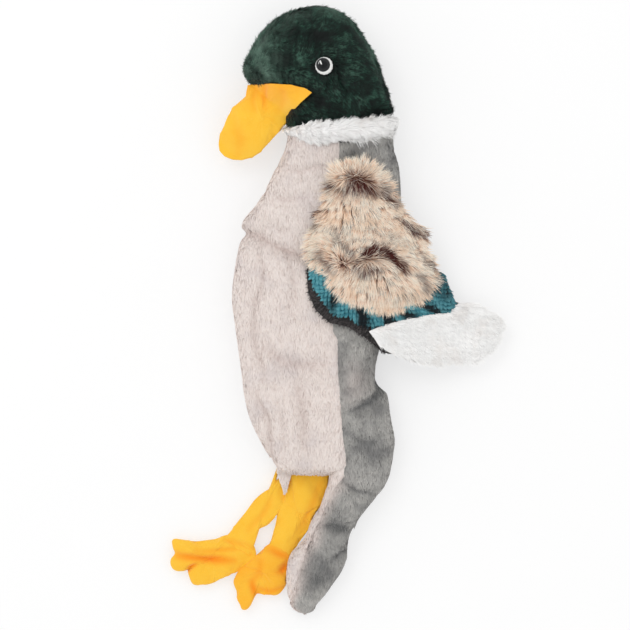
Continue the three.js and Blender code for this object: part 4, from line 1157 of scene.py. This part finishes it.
wing.update({
    "lining": [
        (4, 113), (16, 113.5), (28, 108.5), (42.5, 91.5), (50, 79), (65, 61), (73.5, 39.5), (81, 25.5),
        (88, 14), (92.5, 5), (112, 0.5), (123.5, -5.5), (129, -12), (125, -20.5), (115.5, -35.5),
        (104.5, -41.8), (84, -42.6), (64, -42.2), (50, -37.2), (36, -35), (22, -23), (9, -15), (-6, -11.5),
        (-17, -1.5), (-22.5, 12), (-24, 29), (-20, 48), (-15.5, 65), (-7, 85), (-2.5, 101)],
    "covert": [(7.5, 112), (16, 112), (24.5, 109.5), (33.5, 101.2), (41, 90.7), (48, 78.8), (57, 70),
               (64.5, 62), (68, 56.8), (66, 51.8), (69, 45), (73, 37), (75, 29), (73, 21), (68, 15.5),
               (63.5, 8), (54.5, 5.5), (47.5, 1), (35.5, 1), (21, 5), (9, 12), (-1, 21), (-7, 28.5),
               (-13, 33.5), (-17.5, 37), (-19, 48), (-16.5, 65), (-10.5, 75.5), (-6, 86.5), (-3.5, 97.5),
               (0, 105.5)],
    "tip": [(93, 3.5), (101.5, 4), (112.5, 1), (123, -4), (130, -10), (130.5, -14.5), (127, -17), (124, -27),
            (116, -35), (108, -40.5), (95.5, -41.6), (83.5, -42.2), (66, -42.2), (57, -39.8), (50, -37.4),
            (41, -34.8), (34, -29.5), (28, -22.5), (25, -18), (35.5, -14), (47.5, -10), (59.5, -7.5),
            (69, -5), (83.5, -4), (92, -2)],
    "bandInner": [(-20, 41), (-13.5, 35), (-7, 29.5), (-0.5, 22.5), (9, 13.5), (21, 6.5), (35.5, 3),
                  (47.5, 3), (54.5, 5), (63, 7), (68, 17), (74, 22.5), (77.5, 30)],
    "bandOuter": [(-20.2, 38), (-20.2, 28), (-16.4, 16.6), (-9.5, 5), (-3.5, -1.8), (5, -5), (12.5, -7.4),
                  (20, -12.5), (27, -14), (35.5, -12.5), (47.5, -9.5), (59.5, -7), (69, -5), (83, -4.5),
                  (93, -3), (92.5, 4.5), (88.5, 15.5), (83.8, 27.5)],
    "stripes": [(0.6, -1.5, 9), (1, 19, -4), (1, 38, -5.5), (0.9, 53, -4), (1, 72, 6)],      # dark, x and y
    "band": {"low": 2.8, "high": 4.2, "edge": 0.9, "rows": 22, "cols": 170, "stripe": 4.8,
             "endDark": 0.45},
    "layers": {     # over each outline, from its centre
        "covert": {"centre": (27, 52), "low": 2.9, "high": 4.6, "rim": 3.6, "rings": 30, "steps": 170,
                   "lumps": 0.8},
        "tip": {"centre": (82, -23), "low": 2.9, "high": 4.4, "rim": 3.4, "rings": 26, "steps": 150,
                "lumps": 0.6},
        "lining": {"centre": (45, 0), "low": 0.1, "high": 2.4, "rim": 1.4, "rings": 26, "steps": 170,
                   "lumps": 0.0}},
})
print("wings")


# the left wing lies on the body and droops over the back, down by half a cosine; the right wing lies flat
# below the body
def wingHeight(side, x, y, height):
    if side < 0:
        return np.maximum(wing["bottom"] - height, wing["lowest"])
    fall = np.clip((x - wing["droopFrom"]) / wing["droopOver"], 0, 1)
    droop = wing["lift"] + wing["clear"] + wing["droopHeight"] * (0.5 + 0.5 * np.cos(fall * np.pi))
    return np.maximum(bodyTop(x, y) + wing["clear"], droop) + height


# a wing layer over its outline: its height falls from high to rim as 1 - share^5; the upper wing has lumps
def wingPad(side, kind):
    pad = wing["layers"][kind]
    reach = reachOf(wing[kind], pad["centre"], smooth=False)
    share, x, y = ringsTo(pad["centre"], reach, pad["rings"], pad["steps"])
    swell = pad["rim"] + (pad["high"] - pad["rim"]) * (1 - share ** 5)
    if side > 0:
        swell = swell + pad["lumps"] * lumpsAt(x, y, 15, 81) * (1 - share ** 6)
    return spotsAt(x, y, wingHeight(side, x, y, swell)), spotsAt(x, y, wingHeight(side, x, y, pad["low"]))


# each row: a place on the covert, and which way its fur is combed there; fur between them is combed by
# the average of the rows, weighted by one over the distance to the fourth power
combed = np.array([
    (0, 108, -0.5, 1), (14, 111, 0.1, 1), (28, 107, 0.7, 0.9), (38, 98, 1, 0.35), (50, 84, 1, -0.1),
    (-1, 93, -0.8, -0.5), (8, 93, -0.2, -1), (20, 92, 0.2, -1), (31, 87, 0.7, -0.8), (45, 78, 1, -0.6),
    (60, 70, 1, -0.6), (70, 60, 1, -0.5), (-9, 76, -0.9, -0.5), (-12, 58, -0.8, -0.6), (0, 72, -0.35, -1),
    (15, 70, 0, -1), (33, 66, 0.3, -1), (52, 56, 0.7, -0.8), (-13, 44, -0.8, -0.5), (-2, 44, -0.5, 0.5),
    (8, 43, 0.1, 0.9), (20, 47, 0.5, 1), (34, 48, 0.9, 0.6), (46, 46, 1, -0.2), (62, 44, 1, -0.5),
    (75, 40, 1, -0.4), (-6, 34, -0.8, -0.8), (14, 29, -0.3, -1), (27, 29, 0.1, -1), (42, 28, 0.6, -0.9),
    (60, 28, 0.9, -0.5), (72, 28, 1, -0.5), (66, 16, 0.7, -0.8), (2, 20, -0.4, -1), (20, 10, -0.1, -1),
    (40, 6, 0.1, -1), (56, 8, 0.4, -1)])
# dark lines where the covert's fur parts: its dark roots show there, with painted shade between the locks
wing["dark"] = [
    (1.3, 1.5, [(-4, 96), (1, 98), (5, 98)]), (1.2, 1.7, [(7, 98), (14, 101), (22, 98.5), (29, 93)]),
    (1.0, 2.0, [(30, 95), (38, 88), (44, 83)]), (1.2, 1.8, [(-7, 82), (-11, 74), (-13.5, 66)]),
    (1.0, 1.5, [(-1, 70), (3, 64), (5, 57)]), (1.2, 1.5, [(50, 69), (60, 62), (70, 57)]),
    (1.0, 1.5, [(40, 74), (49, 71), (57, 68)]), (0.6, 2.4, [(10, 59), (28, 58), (48, 56)]),
    (1.8, 1.9, [(15, 36), (20, 40), (29, 42), (39, 40), (50, 34)]),
    (1.3, 1.4, [(19, 33), (27, 35), (33, 33)]), (1.1, 1.6, [(58, 46), (66, 38), (74, 30)]),
    (0.9, 1.6, [(-10, 46), (-5, 38), (3, 31)]), (0.8, 1.6, [(2, 50), (7, 40), (9, 32)]),
    (0.8, 1.8, [(56, 32), (62, 24), (66, 18)])]


# by the table, with a little noise
def combCovert(root):
    gap = np.linalg.norm(root[:, None, :2] - combed[None, :, :2], axis=-1)
    weight = 1 / (gap ** 2 + 12) ** 2
    flow = weight @ unit(combed[:, 2:]) / weight.sum(1, keepdims=True)
    flow = flow + 0.3 * np.stack([noiseAt(root, 8, 84), noiseAt(root, 8, 85)], 1)
    return np.column_stack([flow, 0 * gap[:, 0]])


# toward the tail, fanned out from the band's middle
def combBand(root):
    fan = (root[:, 0] - 34) * 0.016
    return np.stack([fan + 0.25 * noiseAt(root, 9, 86), -1 + 0 * fan, 0 * fan], 1)


# toward the back and a little down, drifting with noise
def combTip(root):
    drift = noiseAt(root, 16, 87)
    return np.stack([1 + 0 * drift, -0.5 + 0.45 * drift, 0 * drift], 1)


# out from the wing's middle
def combLining(root):
    arm = unit(root[:, :2] - np.array([45, 10]))
    return np.column_stack([arm + [0.1, -0.4], 0 * arm[:, 0]])


# the lining's pile shows only along the wing's edge on the belly's side
def liningEdge(root):
    share = shareIn(root[:, 0], root[:, 1], wing["centre"], wingReach)
    return ease(share, 0.72, 0.9) * ease(root[:, 0], 46, 34)


covertPile = {"count": 38000, "length": 13.5, "vary": 0.5, "lift": 0.34, "reach": 0.85, "width": 0.62,
              "lock": 5.8, "clump": 0.72, "clumpAt": lambda root: 1 - 0.6 * ease(22 - root[:, 1:2], 0, 14),
              "stray": 0.14, "roll": 0.45, "steps": 3, "seed": 91}
tipPile = {"count": 22000, "length": 10.5, "vary": 0.4, "lift": 0.28, "reach": 0.85, "width": 0.85,
           "lock": 5.4, "clump": 0.45, "stray": 0.22, "roll": 0.35, "steps": 3, "seed": 92}
bandPile = {"count": 20000, "length": 4.6, "vary": 0.45, "lift": 0.42, "reach": 0.7, "width": 0.7,
            "lock": 3.2, "clump": 0.75, "stray": 0.2, "steps": 2, "seed": 93}
liningPile = {"count": 11000, "length": 3.6, "vary": 0.4, "lift": 0.2, "reach": 0.8, "width": 0.7,
              "lock": 3.0, "clump": 0.3, "stray": 0.3, "steps": 2, "seed": 94}
folded = {"less": 0.45, "seed": 5, "look": {"lift": 0.1, "length": 7.0, "clump": 0.25}}


# the folded wing's pile: less than half the hairs, all of one length, pressed flat
def pressed(look, side):
    if side > 0:
        return look
    count, seed = int(look["count"] * folded["less"]), look["seed"] + folded["seed"]
    return {**look, **folded["look"], "count": count, "seed": seed}


# one layer of a wing as a piece
def wingLayer(name, kind, cloth, side, grids, comb, look, finish, fill=0.3, shade=0.0, thin=None):
    made = Piece(f"wing_{name}_{kind}_{cloth}")
    top, under = grids
    closed = kind != "band"
    made.skin(top, under, shade, wrap=closed, pole=closed)
    made.pile(top, top - under, comb, pressed(look, side), wrap=closed, thin=thin, fold=shade)
    place(made, finish, [f"wing_{name}_{kind}"], f"wing_{name}", fill)


# the band: rows between its two lines, dark in stripes across it and toward its back end
band = wing["band"]
rows = np.linspace(0, 1, band["rows"])[:, None, None]
inner, outer = (evenly(wing[line], band["cols"])[None] for line in ("bandInner", "bandOuter"))
bandGrid = inner * (1 - rows) + outer * rows
x, y = bandGrid[..., 0], bandGrid[..., 1]
rim = np.abs(np.linspace(-1, 1, band["rows"]))[:, None] ** 4
middleLine = bandGrid[band["rows"] // 2]
run = runOf(middleLine[None])[0]
stripe = band["endDark"] * ease(run, run[-1] - 34, run[-1] - 10)
for dark, *spot in wing["stripes"]:
    at = np.linalg.norm(middleLine - spot, axis=1).argmin()
    stripe = stripe + dark * np.exp(-((run - run[at]) / band["stripe"]) ** 2)

for side, name in sides:
    grids = wingPad(side, "covert")
    dark = np.clip(foldsAt(grids[0][..., 0], grids[0][..., 1], wing["dark"]), 0, 1.6)
    wingLayer(name, "covert", "fur", side, grids, combCovert, covertPile, tanFur, shade=dark)
    wingLayer(name, "tip", "fur", side, wingPad(side, "tip"), combTip, tipPile, whiteFur)
    heights = (band["high"] - band["edge"] * rim, band["low"])
    grids = [spotsAt(x, y, wingHeight(side, x, y, height)) for height in heights]
    dark = np.clip(1.25 * stripe[None] * (1 + 0.5 * noiseAt(grids[0], 3.5, 88)), 0, 1)
    wingLayer(name, "band", "cloth", side, grids, combBand, bandPile, tealPlush, shade=dark)
    wingLayer(name, "lining", "cloth", side, wingPad(side, "lining"), combLining, liningPile, darkLining, 0.2,
              thin=liningEdge)

# legs

legs = {
    "left": {
        "leg": {"outline": [(-37, -122), (-37.5, -134), (-41.5, -147.5), (-46.5, -159), (-48.3, -170),
            (-51.5, -182), (-54, -192), (-50, -199), (-41, -201), (-34, -192), (-29, -184.5), (-22.5, -175.5),
            (-18.5, -165.5), (-11.5, -155), (-8, -145), (-6, -133), (-6, -122), (-21, -118)],
            "centre": (-32, -162),
            "folds": [(0.9, 2.0, [(-52.5, -189), (-47, -193), (-39, -196)]),
                (0.8, 3.0, [(-14, -140), (-20, -156), (-28, -174)])],
            "tone": 0.0, "bend": ("body", "leg_left", (-21, -130, 5.5), (-21.5, -143, 5.5))},
        "foot": {"outline": [(-53.5, -187.5), (-61.5, -194), (-71.5, -202.5), (-77, -208), (-80.5, -213.5),
            (-81.5, -218), (-79.5, -224.5), (-79, -230), (-77, -235), (-74.5, -239), (-70.5, -238),
            (-67, -232.5), (-65, -228), (-62.5, -226.5), (-53.5, -227.5), (-46.5, -226.5), (-41, -220),
            (-40, -214.5), (-39, -206.5), (-37, -196), (-44, -187)],
            "centre": (-59, -209),
            "folds": [(1.6, 3.0, [(-53, -191), (-46, -195), (-38, -197.5)]),
                (2.0, 3.0, [(-40, -203), (-43, -207), (-46, -209)]),
                (2.0, 2.4, [(-67.5, -218), (-66, -224), (-63.5, -229)]),
                (1.2, 2.2, [(-64, -222), (-54, -224), (-43, -221)]),
                (1.0, 3.0, [(-60, -200), (-62, -210), (-68, -218)])],
            "tone": 0.26, "bend": ("leg_left", "foot_left", (-43, -186.5, 5.5), (-46.5, -199.5, 5.5))},
    },
    "right": {
        "leg": {"outline": [(-47.5, -121), (-48.3, -133), (-47.5, -140.5), (-52.5, -143), (-58, -146),
            (-65, -152), (-72.5, -162), (-79, -170), (-84.5, -177.5), (-89.5, -184), (-86, -193),
            (-74, -198), (-66, -192), (-64.5, -183), (-61.5, -175.5), (-55, -172), (-49, -165.5),
            (-43.5, -156), (-41, -147.5), (-39, -134), (-38.6, -121)],
            "centre": (-59, -163),
            "folds": [(0.9, 2.4, [(-86, -184), (-76, -187), (-66, -190)]),
                (0.8, 3.0, [(-52, -150), (-58, -162), (-70, -176)])],
            "tone": 0.0, "bend": ("body", "leg_right", (-43, -130, 5.5), (-44.5, -143, 5.5))},
        "foot": {"outline": [(-86, -180), (-96, -183), (-103, -184), (-112, -185), (-119.5, -184),
            (-127.5, -183), (-130.5, -184.5), (-130, -190), (-128.5, -194.5), (-131.5, -199),
            (-131.5, -203.5), (-128.5, -207.5), (-122, -208.5), (-118.5, -207.5), (-117, -212.5),
            (-114, -218.5), (-108.5, -219.5), (-101.5, -218.5), (-92.5, -215), (-83.5, -211), (-74, -206),
            (-65, -199), (-65.5, -190), (-72, -183)],
            "centre": (-100, -199),
            "folds": [(2.6, 3.2, [(-126, -196), (-115, -197.5), (-103, -198.5), (-92, -199.5), (-82, -200)]),
                (1.0, 2.2, [(-112, -192), (-98, -192), (-86, -191.5), (-76, -190)]),
                (2.4, 1.6, [(-119, -209), (-116, -205), (-112, -203)]),
                (1.2, 2.0, [(-88, -184), (-78, -188), (-68, -196)])],
            "tone": 0.04, "bend": ("leg_right", "foot_right", (-72, -180, 5.5), (-80.5, -193, 5.5))},
    },
}
limbs = {"half": 5.5, "edge": 0.14, "lump": 0.45, "deep": 1.2, "least": 0.8, "lowest": 0.05, "thin": 0.2}
print("legs")
limbLoose = {"rows": 16, "cols": 73, "stiff": 8.0, "bend": 0.1, "slack": 0.05, "pressure": 1.5, "cap": 2.0,
             "steps": 20}


# a limp cloth limb: rings from its centre to its sewn edge, as thick as the root of 1 - share^3.4, pushed in
# at its folds
def limb(piece, look):
    share, x, y = ringsTo(look["centre"], reachOf(look["outline"], look["centre"]), 30, 200)
    middle = limbs["half"]
    half = middle * (limbs["edge"] + (1 - limbs["edge"]) * np.sqrt(np.maximum(1 - share ** 3.4, 0)))
    fold = foldsAt(x, y, look["folds"])
    lump = limbs["lump"] * lumpsAt(x, y, 12, 95) * (1 - share ** 4)
    high = middle + half + lump - fold * limbs["deep"]
    top = spotsAt(x, y, np.maximum(high, middle - half + limbs["least"]))
    under = spotsAt(x, y, np.maximum(middle - half, limbs["lowest"]))
    top = loosen(top, top - under + np.array([0, 0, 0.01]), limbLoose, wrap=True, pole=True)
    top[..., 2] = np.maximum(top[..., 2], under[..., 2] + limbs["thin"])
    wash = look["tone"] * (0.75 + 0.5 * lumpsAt(x, y, 16, 96))
    # the fold value: painted shade in the folds, plus the limb's own deeper tone
    piece.skin(top, under, np.clip(fold * 0.34 + wash, 0, 0.9), wrap=True, pole=True)


for name, pair in legs.items():
    for kind, look in pair.items():
        cloth = Piece(f"{kind}_{name}_cloth")
        limb(cloth, look)
        place(cloth, orangeFleece, [f"{kind}_{name}"], f"{kind}_{name}", 0.25, look["bend"])

print("squeakers")
for node in ("head_squeaker_bulb", "head_squeaker_reed", "body_squeaker_bulb", "body_squeaker_reed"):
    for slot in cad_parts[node].material_slots:
        slot.material = bulbPlastic.material

# floor

floorFinish = Finish("studio paper", 0.95, 0.0, 0.1)
paper = floorFinish.speckle(60, 1.0)
floorFinish.paint(floorFinish.mix(rgb(254, 254, 254), rgb(252, 252, 252), paper))
rays = ("Camera", "Glossy", "Transmission")
seenBy = sum(floorFinish.node("LightPath", {}, {}, f"Is {kind} Ray") for kind in rays)
glow = floorFinish.node("Emission", {}, {"Color": (1, 1, 1, 1), "Strength": 1.0})
lit = Wire(floorFinish, floorFinish.shader.outputs["BSDF"])
share = seenBy.clamped() * light["floorGlow"]
both = floorFinish.node("MixShader", {}, {0: share, 1: lit, 2: glow})
floorFinish.tree.links.new(both.socket, floorFinish.tree.nodes["Material Output"].inputs["Surface"])
floorMesh = bpy.data.meshes.new("floor")
floorMesh.from_pydata([(-4, -4, 0), (4, -4, 0), (4, 4, 0), (-4, 4, 0)], [], [(0, 1, 2, 3)])
floorMesh.materials.append(floorFinish.material)
floor = bpy.data.objects.new("floor", floorMesh)
scene.collection.objects.link(floor)
